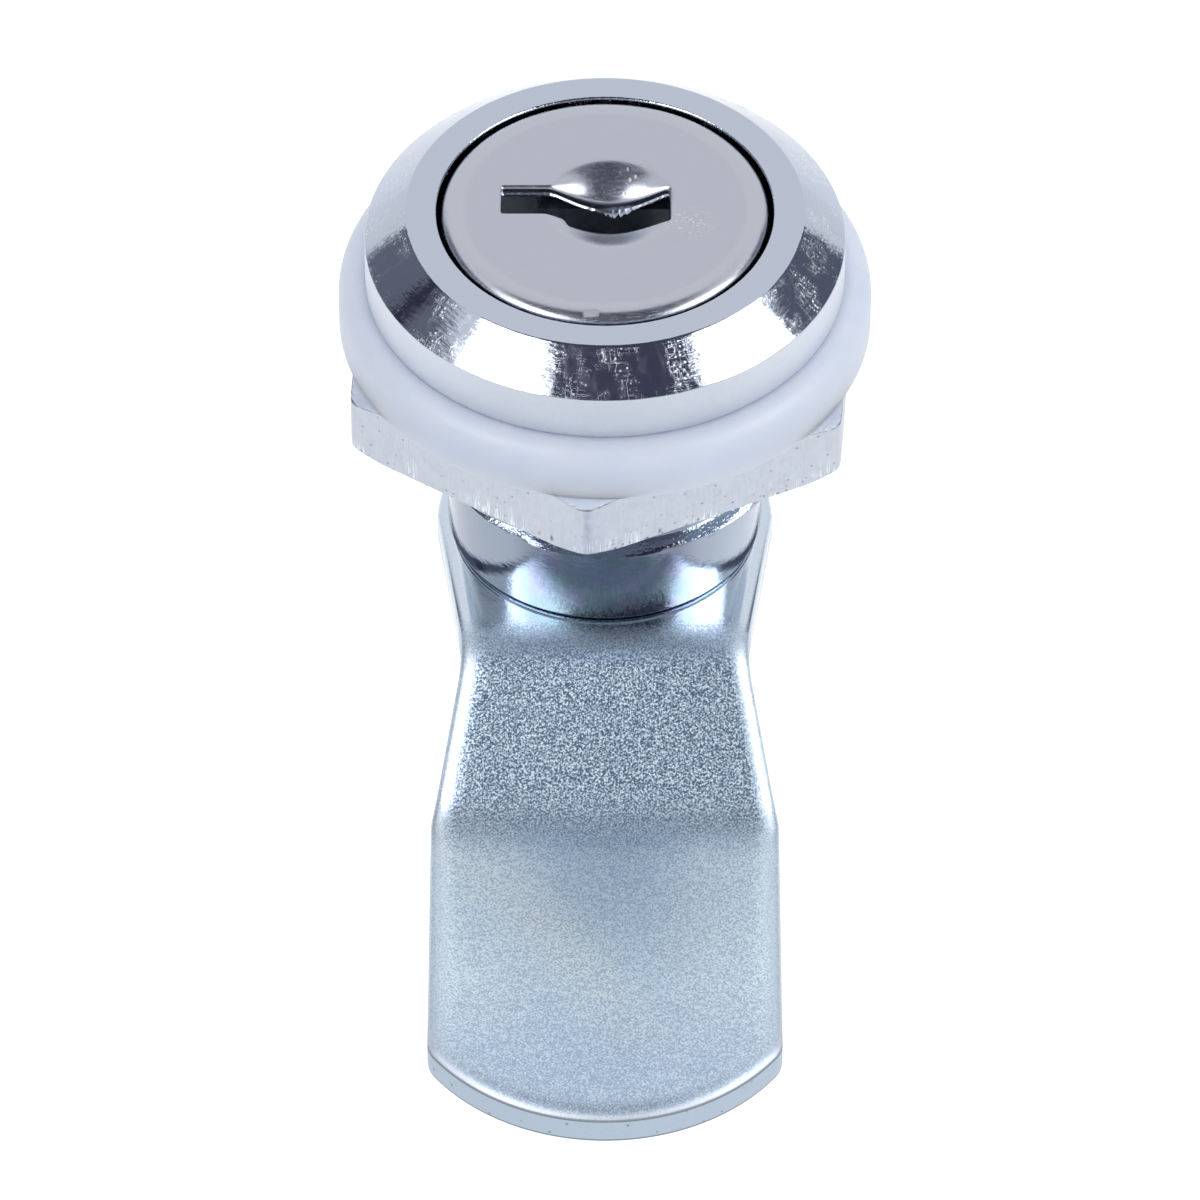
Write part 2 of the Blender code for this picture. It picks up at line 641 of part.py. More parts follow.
def cam_path(distance):
    """Where the sheet's middle lies after bending, and its slope, at a distance from the axis."""
    angle = CAM_BEND_ANGLE
    upper = CAM_UPPER_BEND_RADIUS
    lower = CAM_LOWER_BEND_RADIUS
    slant = cam_slant_length()
    middle = (CAM_TOP + CAM_UNDERSIDE) / 2
    if distance <= CAM_BEND_AT:
        return -distance, middle, 0.0
    along = distance - CAM_BEND_AT
    if along <= CAM_UPPER_BEND_LENGTH:
        slope = along / upper
        return -CAM_BEND_AT - upper * math.sin(slope), middle - upper * (1 - math.cos(slope)), slope
    y = -CAM_BEND_AT - upper * math.sin(angle)
    z = middle - upper * (1 - math.cos(angle))
    along -= CAM_UPPER_BEND_LENGTH
    if along <= slant:
        return y - along * math.cos(angle), z - along * math.sin(angle), angle
    y -= slant * math.cos(angle)
    z -= slant * math.sin(angle)
    along -= slant
    if along <= CAM_LOWER_BEND_LENGTH:
        slope = angle - along / lower
        fall = lower * (math.cos(slope) - math.cos(angle))
        return y - lower * (math.sin(angle) - math.sin(slope)), z - fall, slope
    y -= lower * math.sin(angle)
    z = middle - CAM_STEP
    return y - (along - CAM_LOWER_BEND_LENGTH), z, 0.0


def cam_blank_length():
    """Distance along the flat blank from the axis to the tip that gives the bent cam its reach."""
    lost_in_bends = CAM_REACH + cam_path(CAM_REACH)[0]
    return CAM_REACH + lost_in_bends


def cam_outline():
    """The flat blank: round head, waisted neck, parallel end and a wide round tip."""
    tip = cam_blank_length()
    tip_centre = tip - CAM_TIP_RADIUS
    corner = math.asin(CAM_END_HALF_WIDTH / CAM_TIP_RADIUS)
    head = arc((0, 0), CAM_HEAD_RADIUS, 0.0, math.pi, 24)
    end = arc((0, -tip_centre), CAM_TIP_RADIUS, -math.pi / 2 - corner, -math.pi / 2 + corner, 20)
    waist = [
        (-CAM_NECK_HALF_WIDTH, -CAM_NECK_AT, CAM_NECK_FILLET),
        (-CAM_END_HALF_WIDTH, -CAM_SHOULDER_AT, CAM_SHOULDER_FILLET),
    ]
    corners = [(x, y, 0.0) for x, y in head] + waist
    corners += [(x, y, 0.0) for x, y in end]
    corners += [(-x, y, turn) for x, y, turn in reversed(waist)]
    return rounded(corners, steps=4)


def build_cam(material, parent):
    half = TAIL_SQUARE / 2 + RUN_GAP
    hole = [(half, half), (-half, half), (-half, -half), (half, -half)]
    thick = CAM_SHEET / 2
    bm = plate(cam_outline(), [hole], -thick, thick)
    rolled = []
    for edge in bm.edges:
        on_top = all(vertex.co.z > 0 for vertex in edge.verts)
        is_rim = any(abs(face.normal.z) < 0.5 for face in edge.link_faces)
        outside = all(max(abs(vertex.co.x), abs(vertex.co.y)) > half + RUN_GAP for vertex in edge.verts)
        if on_top and is_rim and outside:
            rolled.append(edge)
    bmesh.ops.bevel(bm, geom=rolled, offset=CAM_EDGE_ROLL, segments=3, profile=0.5, affect="EDGES")
    lower_bend_at = CAM_BEND_AT + CAM_UPPER_BEND_LENGTH + cam_slant_length()
    for start, length in ((CAM_BEND_AT, CAM_UPPER_BEND_LENGTH), (lower_bend_at, CAM_LOWER_BEND_LENGTH)):
        for step in range(BEND_STEPS + 1):
            cut = -(start + length * step / BEND_STEPS)
            everything = bm.verts[:] + bm.edges[:] + bm.faces[:]
            bmesh.ops.bisect_plane(bm, geom=everything, dist=1e-6, plane_co=(0, cut, 0), plane_no=(0, 1, 0))
    for vertex in bm.verts:
        y, z, slope = cam_path(-vertex.co.y)
        lift = vertex.co.z
        vertex.co.y = y - lift * math.sin(slope)
        vertex.co.z = z + lift * math.cos(slope)
    bmesh.ops.remove_doubles(bm, verts=bm.verts[:], dist=1e-6)
    add_object("cam", bm, material, parent=parent)


def build_lock_washer(material, parent):
    """A split spring washer, its ends stepped up and down by its helix."""
    inner = SCREW_RADIUS + RUN_GAP
    steps = 30
    sweep = math.tau - LOCK_WASHER_SPLIT
    rings = []
    for step in range(steps + 1):
        angle = LOCK_WASHER_SPLIT / 2 + sweep * step / steps
        drop = LOCK_WASHER_RISE * step / steps
        section = (
            (inner, -LOCK_WASHER_SHEET - drop),
            (LOCK_WASHER_RADIUS, -LOCK_WASHER_SHEET - drop),
            (LOCK_WASHER_RADIUS, -drop),
            (inner, -drop),
        )
        rings.append([(r * math.cos(angle), r * math.sin(angle), z) for r, z in section])
    add_object("lock_washer", loft(rings), material, (0.0, 0.0, LOCK_WASHER_TOP), parent)


def build_screw(material, parent):
    head = plate(regular_hexagon(SCREW_HEAD_FLATS), [], -SCREW_HEAD_HEIGHT, 0.0)
    screw = add_object("cam_screw", head, material, (0.0, 0.0, SCREW_HEAD_TOP), parent)
    edge = BARREL_EDGE
    top = SCREW_TIP - SCREW_HEAD_TOP
    shank = lathe(
        [
            (0.0, -SCREW_HEAD_HEIGHT / 2),
            (SCREW_RADIUS, -SCREW_HEAD_HEIGHT / 2),
            (SCREW_RADIUS, top - edge),
            (SCREW_RADIUS - edge, top),
            (0.0, top),
        ],
        SMALL_SEGMENTS,
        closed=False,
    )
    tool = add_object("join_shank", shank, location=(0.0, 0.0, SCREW_HEAD_TOP), parent=parent)
    add_boolean(screw, tool, "UNION")


def main():
    clear_scene()
    chrome = make_material("chrome", (0.78, 0.80, 0.83), 1.0, 0.12)
    satin = make_material("satin_nickel", (0.62, 0.62, 0.61), 1.0, 0.32)
    nylon = make_material("nylon", (0.82, 0.86, 0.92), 0.0, 0.45)
    zinc = make_material("zinc_plate", (0.68, 0.72, 0.76), 1.0, 0.35)
    blue_zinc = make_material("blue_zinc_plate", (0.55, 0.64, 0.70), 1.0, 0.30)
    cast = make_material("cast_zinc", (0.50, 0.51, 0.52), 1.0, 0.40)
    brass = make_material("brass", (0.75, 0.60, 0.32), 1.0, 0.35)
    spring_steel = make_material("spring_steel", (0.45, 0.46, 0.48), 1.0, 0.35)

    turning = bpy.data.objects.new("plug_axis", None)
    bpy.context.scene.collection.objects.link(turning)

    build_housing(chrome)
    build_washer(nylon)
    build_nut(zinc)
    build_plug(cast, turning)
    build_face_cap(satin, turning)
    build_wafer_stack(brass, spring_steel, turning)
    build_cam(blue_zinc, turning)
    build_lock_washer(spring_steel, turning)
    build_screw(zinc, turning)


main()
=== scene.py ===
"""Looks of the quarter-turn cam lock: fine meshes, finishes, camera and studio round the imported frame.

Units are metres, in the frame's own axes: +Z out of the lock's face, the cam along -Y.
"""
import math

import bmesh
import bpy
import numpy as np
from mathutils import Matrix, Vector


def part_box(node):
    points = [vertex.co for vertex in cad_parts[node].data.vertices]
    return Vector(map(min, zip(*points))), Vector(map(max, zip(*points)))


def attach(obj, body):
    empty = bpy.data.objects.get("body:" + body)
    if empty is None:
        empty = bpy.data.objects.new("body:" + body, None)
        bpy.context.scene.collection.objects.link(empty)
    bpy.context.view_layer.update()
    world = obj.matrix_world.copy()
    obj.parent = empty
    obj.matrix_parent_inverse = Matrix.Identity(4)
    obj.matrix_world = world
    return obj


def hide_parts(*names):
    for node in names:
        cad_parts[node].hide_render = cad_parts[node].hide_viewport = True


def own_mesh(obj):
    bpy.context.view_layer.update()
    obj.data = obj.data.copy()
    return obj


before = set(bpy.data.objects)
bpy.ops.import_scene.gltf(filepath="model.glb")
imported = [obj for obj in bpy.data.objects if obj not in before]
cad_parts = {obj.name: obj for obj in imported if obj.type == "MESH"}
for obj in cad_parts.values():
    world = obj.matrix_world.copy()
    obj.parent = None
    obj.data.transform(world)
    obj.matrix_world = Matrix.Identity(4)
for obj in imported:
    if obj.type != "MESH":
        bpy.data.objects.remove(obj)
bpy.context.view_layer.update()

MM = 0.001

# Facets round a turned piece, and steps in a rounded edge
ROUND_STEPS = 288
EDGE_STEPS = 6

# Heights and radii read from the frame
CAP_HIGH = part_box("face_cap")[1]
HOUSING_LOW, HOUSING_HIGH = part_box("housing")
WASHER_LOW, WASHER_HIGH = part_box("sealing_washer")
NUT_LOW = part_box("hex_nut")[0]
CAM_LOW, CAM_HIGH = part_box("cam")
FACE_HEIGHT = HOUSING_HIGH.z
FLANGE_RADIUS = HOUSING_HIGH.x
BARREL_END = HOUSING_LOW.z
CAP_TOP = CAP_HIGH.z
CAP_RADIUS = CAP_HIGH.x
WASHER_RADIUS = WASHER_HIGH.x

# Housing: flange and recess
RIM_DROP = 2.08 * MM
FLANGE_SEAT = 3.4 * MM
FACE_RADIUS = 11.52 * MM
RECESS_RADIUS = 9.76 * MM
RECESS_DEPTH = 3.15 * MM
EDGE_ROUND = 0.14 * MM
FACE_EDGE_ROUND = EDGE_ROUND * 1.5
RIM_EDGE_ROUND = EDGE_ROUND * 1.2
LUG_ANGLES = (35.0, 55.0)
LUG_HEIGHT = 1.2 * MM
LUG_RADIUS = 7.75 * MM

# Housing: barrel
THREAD_RADIUS = 11.0 * MM
THREAD_ROOT = 10.25 * MM
THREAD_PITCH = 1.5 * MM
THREAD_CREST = 0.25 * MM
THREAD_FLANK_SHARE = 0.85
THREAD_LEAD_IN = 0.5 * MM
THREAD_END = -9.5 * MM
THREAD_END_TILT = 0.4 * MM
THREAD_END_TURN = math.radians(-20.0)
THREAD_ROWS_PER_PITCH = 10
THREAD_TURN = math.radians(-60.0)
FLAT_DISTANCE = 9.4 * MM
BARREL_RADIUS = 9.3 * MM
BARREL_EXTRA = 0.25 * MM
BARREL_SHOULDER = 0.1 * MM
BARREL_EDGE_ROUND = EDGE_ROUND * 2
BORE_RADIUS = 7.25 * MM
BORE_LIP = 0.5 * MM
GROOVE_RADIUS = 8.3 * MM
GROOVE_HALF_WIDTH = 3.75 * MM
GROOVE_TOP = 3.35 * MM
GROOVE_BOTTOM = -9.75 * MM
RETAINER_TOP = -11.05 * MM
RETAINER_BOTTOM = -12.55 * MM
WALL_STEP = 0.01 * MM

# Face cap: its points round each row, and its rows from the slot's edge out to the rim
CAP_POINTS = 480
CAP_INNER_SHARE = 0.2
CAP_INNER_ROWS = 25
CAP_OUTER_ROWS = 34
CAP_FAN = 0.45
CAP_ROLL_STEPS = 12
CAP_SHEET = 0.45 * MM
CAP_ROLL_WIDTH = 0.95 * MM
CAP_ROLL_DROP = 0.5 * MM
CAP_SKIRT = 1.75 * MM
DIMPLE_CENTRE = (0.3 * MM, 0.35 * MM)
DIMPLE_RADIUS = 3.9 * MM
DIMPLE_DEPTH = 1.2 * MM
DIMPLE_SOFTNESS = 1.5
SLOT_ROLL = (0.28 * MM, 0.17 * MM)
SLOT_ROLL_FAR = (1.3 * MM, 0.6 * MM)
SLOT_ROLL_NEAR = (0.5 * MM, 0.3 * MM)
SLOT_ROLL_FULL = 0.8
SLOT_WALL_SHARE = 0.62
BURR_REACH = (0.07 * MM, 0.20 * MM)
BURR_TEAR = 0.8 * MM
BURR_TEAR_AT = 0.7 * MM
BURR_TEAR_WIDTH = 0.7 * MM
BURR_SEED = 3

# Key slot, seen from the face
KEYWAY_LEFT = -6.0 * MM
KEYWAY_RIGHT = 3.75 * MM
KEYWAY_FAR = 1.82 * MM
KEYWAY_NEAR = -0.9 * MM
KEYWAY_WARD = 0.55 * MM
KEYWAY_WARD_END = -2.35 * MM
KEYWAY_CORNER = 0.22 * MM

# Marks on the cap, in millimetres: a painted sheen ring, key rubs beside the slot, specks in the dimple, a
# nick in the rim
CAP_SHEEN_RING = (8.0, 8.3)
KEY_WEAR_PLACE = (4.9, -1.3, 8.5)
DIMPLE_WEAR_PLACE = (1.6, 2.9, 8.1)
RIM_NICK_PLACE = (-0.8, -8.87)
RIM_NICK_SIDES = (0.5, 0.35)
RIM_NICK_ENDS = (0.3, 0.2)

# Sealing washer and nut
WASHER_TOP_ROUND = 1.3 * MM
WASHER_BOTTOM_ROUND = 0.1 * MM
WASHER_HOLE_GAP = 0.1 * MM
WASHER_HOLE_ROUND = 0.15 * MM
WASHER_EDGE_STEPS = 10
NUT_ACROSS_FLATS = 28.5 * MM
NUT_TURN = math.radians(-4.0)
NUT_CHAMFER_RADIUS = 15.6 * MM
NUT_CHAMFER_DROP = 0.35 * MM
NUT_CHAMFER_MARGIN = 0.25 * MM
NUT_CORNER_SHARPNESS = 64.0
NUT_EDGE_BLEND = 0.05 * MM
NUT_ROWS = 36
NUT_STEPS = 576
NUT_THREAD_CUT = 0.45 * MM
NUT_LIP = 0.5 * MM

# Cam
CAM_SHEET = 2.3 * MM
CAM_HEAD_RADIUS = CAM_HIGH.y
CAM_HEAD_TOP = CAM_HIGH.z
CAM_NECK_HALF_WIDTH = 8.35 * MM
CAM_END_HALF_WIDTH = CAM_HIGH.x
CAM_TIP_RADIUS = 12.2 * MM
CAM_TIP_CORNER = 2.0 * MM
CAM_NECK_AT = 11.2 * MM
CAM_SHOULDER_AT = 21.3 * MM
CAM_BEND_AT = 10.2 * MM
CAM_UPPER_BEND_RADIUS = 3.0 * MM
CAM_LOWER_BEND_RADIUS = 6.0 * MM
CAM_BEND_ANGLE = math.radians(43.0)
CAM_STEP = 6.8 * MM
CAM_REACH = -CAM_LOW.y
CAM_EDGE_WIDTH = 1.7 * MM
CAM_EDGE_DEPTH = 0.6 * MM
CAM_UNDER_EDGE = 0.3 * MM
CAM_HOLE_HALF = 4.0 * MM
CAM_NECK_FILLET = 8 * MM
CAM_SHOULDER_FILLET = 5 * MM
CAM_HEAD_STEPS = 72
CAM_TIP_STEPS = 60
CAM_CORNER_STEPS = 10
CAM_FILLET_STEPS = 16
CAM_UNDER_STEPS = 8
CAM_ROLL_STEPS = 12
BEND_CUTS = 24

# Coil springs; the retaining spring is the one that the retaining wafer shortens when pressed in
SPRING_WIRE_RADIUS = 0.15 * MM
SPRING_TURNS = 4
SPRING_STEPS = 24
SPRING_SIDES = 10

# Chrome: heights, radii and places between which its finish, its painted shade in the recess gap and its
# painted reflections on the barrel change, in millimetres
FACE = FACE_HEIGHT / MM
RIM = (FACE_HEIGHT - RIM_DROP) / MM
SEAT = FLANGE_SEAT / MM
RECESS = RECESS_RADIUS / MM
BARREL_SMOOTH = -10.0
BEVEL_LOW = (RIM - 0.05, RIM + 0.05)
BEVEL_HIGH = (FACE - 0.05, FACE - 0.15)
RIM_LOW = (SEAT - 0.2, SEAT)
RIM_HIGH = (RIM + 0.03, RIM - 0.10)
RIM_SIDES = (6.0, 12.5)
BELOW_SEAT = (SEAT, SEAT - 0.1)
GAP_EDGE = (RECESS + 0.35, RECESS + 0.15)
RECESS_WALL = (RECESS + 0.03, RECESS + 0.01)
RECESS_SHADE_LOW = (SEAT, SEAT + 0.2)
RECESS_SHADE_HIGH = (FACE + 0.06, FACE - 0.04)
THREAD_LOW = (BARREL_SMOOTH, BARREL_SMOOTH + 0.2)
BARREL_SHEEN_RIGHT = (5.0, 7.5)
BARREL_REFLECTION_FRONT = (-5.0, -7.5)
BARREL_REFLECTION_MIDDLE = (5.6, 4.0)

# Nut: heights between which its chips and comb marks come in, in millimetres
NUT_CHIPPED = (NUT_LOW.z / MM + 0.8, NUT_LOW.z / MM + 0.3)
NUT_COMBED = (NUT_LOW.z / MM + 1.8, NUT_LOW.z / MM + 0.2)

# Cam: places along Y and aside between which its finish and its painted light change, and a painted highlight
# band across it, in millimetres
DRAWN_FROM = (-10.3, -12.7)
DRAWN_TO = (-17.2, -22.8)
GRAIN_FROM = (-8.6, -10.6)
DULL_FROM = (-8.9, -10.6)
NECK_TONE = (-13.0, -10.0)
END_PAINTED_LIGHT = (-CAM_REACH / MM + 3.0, -CAM_REACH / MM + 12.0)
LIT_SIDES = (1.5, 6.5)
TIP_EDGE = (-34.0, -37.0)
HIGHLIGHT_BAND_ACROSS = (0.843, 0.537, 0.0)
HIGHLIGHT_BAND_AT = -17.9
HIGHLIGHT_BAND_FADE = (3.2, 0.6)

# Floor and key light
FLOOR_HEIGHT = -120.0 * MM
FLOOR_HALF = 4.0
FLOOR_GLOW = 0.38
KEY_SIZE = 0.5
KEY_ENERGY = 1.3
KEY_PLACE = (0.45, -0.35, 0.75)

# Camera, fitted to the photograph: millimetres from the face's centre, then the view itself
CAMERA_RISE = math.radians(44.27)
CAMERA_DISTANCE = 600.0 * MM
CAMERA_ASIDE = 0.287 * MM
CAMERA_ABOVE = 22.542 * MM
PHOTO_SIZE = 1200
FOCAL_PIXELS = 10382.0
SENSOR_WIDTH = 36.0


def rounded(corners, steps=EDGE_STEPS, closed=True):
    """An outline from (x, y, radius) corners, each turned by an arc tangent to both sides."""
    points = []
    for index, (x, y, radius) in enumerate(corners):
        is_end = not closed and index in (0, len(corners) - 1)
        if radius == 0.0 or is_end:
            points.append((x, y))
            continue
        here = Vector((x, y))
        before = (Vector(corners[index - 1][:2]) - here).normalized()
        after = (Vector(corners[(index + 1) % len(corners)][:2]) - here).normalized()
        half = before.angle(after) / 2
        centre = here + (before + after).normalized() * (radius / math.sin(half))
        first = here + before * (radius / math.tan(half)) - centre
        turn = 1.0 if before.x * after.y - before.y * after.x < 0.0 else -1.0
        start = math.atan2(first.y, first.x)
        for step in range(steps + 1):
            angle = start + turn * (math.pi - 2 * half) * step / steps
            points.append((centre.x + radius * math.cos(angle), centre.y + radius * math.sin(angle)))
    return points


def arc(centre, radius, start, end, steps):
    angles = np.linspace(start, end, steps + 1)
    return [(centre[0] + radius * math.cos(a), centre[1] + radius * math.sin(a)) for a in angles]


def make_piece(name, bm, material, body, replaced=(), sharp_angle=32.0):
    """Turn a bmesh into a smooth-shaded piece that rides on a body and stands for CAD nodes."""
    bmesh.ops.recalc_face_normals(bm, faces=bm.faces[:])
    mesh = bpy.data.meshes.new(name)
    bm.to_mesh(mesh)
    bm.free()
    mesh.shade_smooth()
    mesh.set_sharp_from_angle(angle=math.radians(sharp_angle))
    mesh.materials.append(material)
    piece = bpy.data.objects.new(name, mesh)
    bpy.context.scene.collection.objects.link(piece)
    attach(piece, body)
    if replaced:
        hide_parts(*replaced)
    return piece


def skin(rows, closed):
    """Quads between successive rings of points; a closed skin also joins the last ring to the first."""
    bm = bmesh.new()
    rings = [[bm.verts.new(point) for point in row] for row in rows]
    pairs = list(zip(rings, rings[1:]))
    if closed:
        pairs.append((rings[-1], rings[0]))
    for one, other in pairs:
        for k in range(len(one)):
            bm.faces.new((one[k - 1], one[k], other[k], other[k - 1]))
    return bm


def fill_ring(bm, row_index, ring_size):
    """Close one end ring of a skin with a fan of triangles about its middle."""
    bm.verts.ensure_lookup_table()
    ring = bm.verts[row_index * ring_size:(row_index + 1) * ring_size]
    middle = bm.verts.new(sum((vertex.co for vertex in ring), Vector()) / ring_size)
    for k in range(ring_size):
        bm.faces.new((ring[k - 1], ring[k], middle))


def turn_angles(steps=ROUND_STEPS):
    return np.arange(steps) * math.tau / steps


def quarter_turn(steps):
    return np.linspace(0.0, math.pi / 2, steps + 1)


def ring(radius, height, angles):
    """One ring of points; radius and height may be numbers or one value for each angle."""
    radius = np.broadcast_to(radius, angles.shape)
    height = np.broadcast_to(height, angles.shape)
    return np.stack([radius * np.cos(angles), radius * np.sin(angles), height], axis=1)


def turned(profile, angles):
    return [ring(radius, height, angles) for radius, height in profile]


def thread_radius(angles, height):
    """Radius of the helical thread at one height, faded into the root at its end, with its two flats."""
    turns = height / THREAD_PITCH - (angles - THREAD_TURN) / math.tau
    from_crest = np.abs(turns - np.round(turns)) * THREAD_PITCH
    flank = (THREAD_PITCH / 2 - THREAD_CREST / 2) * THREAD_FLANK_SHARE
    rise = 1.0 - np.clip((from_crest - THREAD_CREST / 2) / flank, 0.0, 1.0)
    end = THREAD_END - THREAD_END_TILT * np.cos(angles - THREAD_END_TURN)
    lead_in = np.clip((height - end) / THREAD_LEAD_IN, 0.0, 1.0)
    radius = THREAD_ROOT + (THREAD_RADIUS - THREAD_ROOT) * rise
    radius = BARREL_RADIUS + (radius - BARREL_RADIUS) * lead_in
    flat = FLAT_DISTANCE / np.maximum(np.abs(np.cos(angles)), 1e-6)
    return np.minimum(radius, flat)


def bore_radius(angles, grooved):
    """The bore, widened where the wafers of a locked plug reach out at 0 and 90 degrees."""
    if not grooved:
        return np.full(angles.shape, BORE_RADIUS)
    across = np.maximum(np.abs(np.cos(angles)), 1e-6)
    along = np.maximum(np.abs(np.sin(angles)), 1e-6)
    first = np.minimum(GROOVE_RADIUS / across, GROOVE_HALF_WIDTH / along)
    second = np.minimum(GROOVE_RADIUS / along, GROOVE_HALF_WIDTH / across)
    return np.maximum.reduce([np.full(angles.shape, BORE_RADIUS), first, second])


def build_housing(material):
    angles = turn_angles()
    floor = FACE_HEIGHT - RECESS_DEPTH
    rim_top = FACE_HEIGHT - RIM_DROP
    end = BARREL_END - BARREL_EXTRA
    outside = rounded(
        [
            (RECESS_RADIUS, floor + LUG_HEIGHT + EDGE_ROUND, 0.0),
            (RECESS_RADIUS, FACE_HEIGHT, EDGE_ROUND),
            (FACE_RADIUS, FACE_HEIGHT, FACE_EDGE_ROUND),
            (FLANGE_RADIUS, rim_top, RIM_EDGE_ROUND),
            (FLANGE_RADIUS, FLANGE_SEAT, EDGE_ROUND),
            (THREAD_RADIUS, FLANGE_SEAT, 0.0),
        ],
        closed=False,
    )
    rows = turned(outside, angles)
    lowest = THREAD_END - THREAD_END_TILT
    thread_steps = round((FLANGE_SEAT - lowest) / THREAD_PITCH * THREAD_ROWS_PER_PITCH)
    for height in np.linspace(FLANGE_SEAT, lowest, thread_steps + 1):
        rows.append(ring(thread_radius(angles, height), height, angles))
    tail = rounded(
        [
            (BARREL_RADIUS, lowest - BARREL_SHOULDER, 0.0),
            (BARREL_RADIUS, end, BARREL_EDGE_ROUND),
            (BORE_RADIUS, end, EDGE_ROUND),
            (BORE_RADIUS, end + BORE_LIP, 0.0),
        ],
        closed=False,
    )
    rows += turned(tail, angles)
    rows += turned(
        [
            (BORE_RADIUS, RETAINER_BOTTOM),
            (GROOVE_RADIUS, RETAINER_BOTTOM),
            (GROOVE_RADIUS, RETAINER_TOP),
            (BORE_RADIUS, RETAINER_TOP),
        ],
        angles,
    )
    for height, grooved in (
        (GROOVE_BOTTOM - WALL_STEP, False),
        (GROOVE_BOTTOM, True),
        (GROOVE_TOP, True),
        (GROOVE_TOP + WALL_STEP, False),
        (floor, False),
    ):
        rows.append(ring(bore_radius(angles, grooved), height, angles))
    degrees = np.degrees(angles)
    lug = np.where((degrees >= LUG_ANGLES[0]) & (degrees <= LUG_ANGLES[1]), LUG_HEIGHT, 0.0)
    rows.append(ring(LUG_RADIUS - WALL_STEP, floor, angles))
    rows.append(ring(LUG_RADIUS, floor + lug, angles))
    rows.append(ring(RECESS_RADIUS, floor + lug, angles))
    bm = skin(rows, closed=True)
    bmesh.ops.remove_doubles(bm, verts=bm.verts[:], dist=1e-7)
    return make_piece("fine_housing", bm, material, "lock_body", ["housing"])


def build_washer(material):
    angles = turn_angles()
    hole = THREAD_RADIUS + WASHER_HOLE_GAP
    profile = rounded(
        [
            (hole, WASHER_LOW.z, WASHER_HOLE_ROUND),
            (WASHER_RADIUS, WASHER_LOW.z, WASHER_BOTTOM_ROUND),
            (WASHER_RADIUS, FLANGE_SEAT, WASHER_TOP_ROUND),
            (hole, FLANGE_SEAT, WASHER_HOLE_ROUND),
        ],
        steps=WASHER_EDGE_STEPS,
    )
    bm = skin(turned(profile, angles), closed=True)
    return make_piece("fine_sealing_washer", bm, material, "lock_body", ["sealing_washer"])


def nut_radius(angles, height, bottom, top):
    """A hexagon cut by a cone at each face, its edges blended."""
    face_radius = NUT_ACROSS_FLATS / 2
    sides = [np.clip(np.cos(angles - NUT_TURN - k * math.pi / 3), 0.0, 1.0) for k in range(6)]
    reach = sum(side ** NUT_CORNER_SHARPNESS for side in sides) ** (1.0 / NUT_CORNER_SHARPNESS)
    hexagon = face_radius / reach
    corner = face_radius / math.cos(math.pi / 6) + NUT_CHAMFER_MARGIN
    depth = min(height - bottom, top - height)
    cone = NUT_CHAMFER_RADIUS + (corner - NUT_CHAMFER_RADIUS) * depth / NUT_CHAMFER_DROP
    difference = (cone - hexagon) / NUT_EDGE_BLEND
    return hexagon - NUT_EDGE_BLEND * np.logaddexp(0.0, -difference)


def build_nut(material):
    angles = turn_angles(NUT_STEPS)
    top = 0.0
    bottom = NUT_LOW.z
    hole = THREAD_RADIUS - NUT_THREAD_CUT
    heights = bottom + (top - bottom) * (1 - np.cos(np.linspace(0, math.pi, NUT_ROWS + 1))) / 2
    rows = [ring(nut_radius(angles, height, bottom, top), height, angles) for height in heights]
    wide = hole + NUT_LIP
    rows += turned([(wide, top), (hole, top - NUT_LIP), (hole, bottom + NUT_LIP), (wide, bottom)], angles)
    bm = skin(rows, closed=True)
    return make_piece("fine_hex_nut", bm, material, "lock_body", ["hex_nut"])


def keyway_outline(steps=8):
    near = KEYWAY_NEAR
    ward = near + KEYWAY_WARD
    corners = [
        (KEYWAY_LEFT, ward),
        (KEYWAY_WARD_END, ward),
        (KEYWAY_WARD_END + KEYWAY_WARD / 2, near),
        (KEYWAY_RIGHT, near),
        (KEYWAY_RIGHT, KEYWAY_FAR),
        (KEYWAY_LEFT, KEYWAY_FAR),
    ]
    return rounded([(x, y, KEYWAY_CORNER) for x, y in corners], steps)


def even_loop(points, count):
    """The same closed outline with evenly spaced points."""
    loop = np.array(points + points[:1])
    lengths = np.concatenate([[0.0], np.cumsum(np.linalg.norm(np.diff(loop, axis=0), axis=1))])
    places = np.arange(count) * lengths[-1] / count
    return np.stack([np.interp(places, lengths, loop[:, axis]) for axis in (0, 1)], axis=1)


def dimple_depth(x, y):
    """How far the pressed round dish about the slot lowers the face."""
    reach = np.hypot(x - DIMPLE_CENTRE[0], y - DIMPLE_CENTRE[1]) / DIMPLE_RADIUS
    return DIMPLE_DEPTH * np.clip(1.0 - reach * reach, 0.0, 1.0) ** DIMPLE_SOFTNESS


def slot_burr(slot, under):
    """The slot's cut wall from its lower edge up: a ragged lip on the far side, then plain wall."""
    normals = inward_normals(slot)
    ragged = np.random.default_rng(BURR_SEED).uniform(0.0, 1.0, len(slot))
    ragged = (ragged + np.roll(ragged, 1) + np.roll(ragged, 2)) / 3
    on_far_side = np.clip(-normals[:, 1], 0.0, 1.0)[:, None]
    torn = BURR_TEAR * np.exp(-((slot[:, 0] - BURR_TEAR_AT) / BURR_TEAR_WIDTH) ** 2)
    reach = BURR_REACH[0] + (BURR_REACH[1] - BURR_REACH[0] + torn) * ragged
    reach = reach[:, None] * on_far_side
    lip = slot + normals * reach
    lift = (1 - SLOT_WALL_SHARE) * CAP_SHEET
    return [
        np.column_stack([lip, under]),
        np.column_stack([lip, under + lift * 0.6]),
        np.column_stack([slot, under + lift]),
    ]


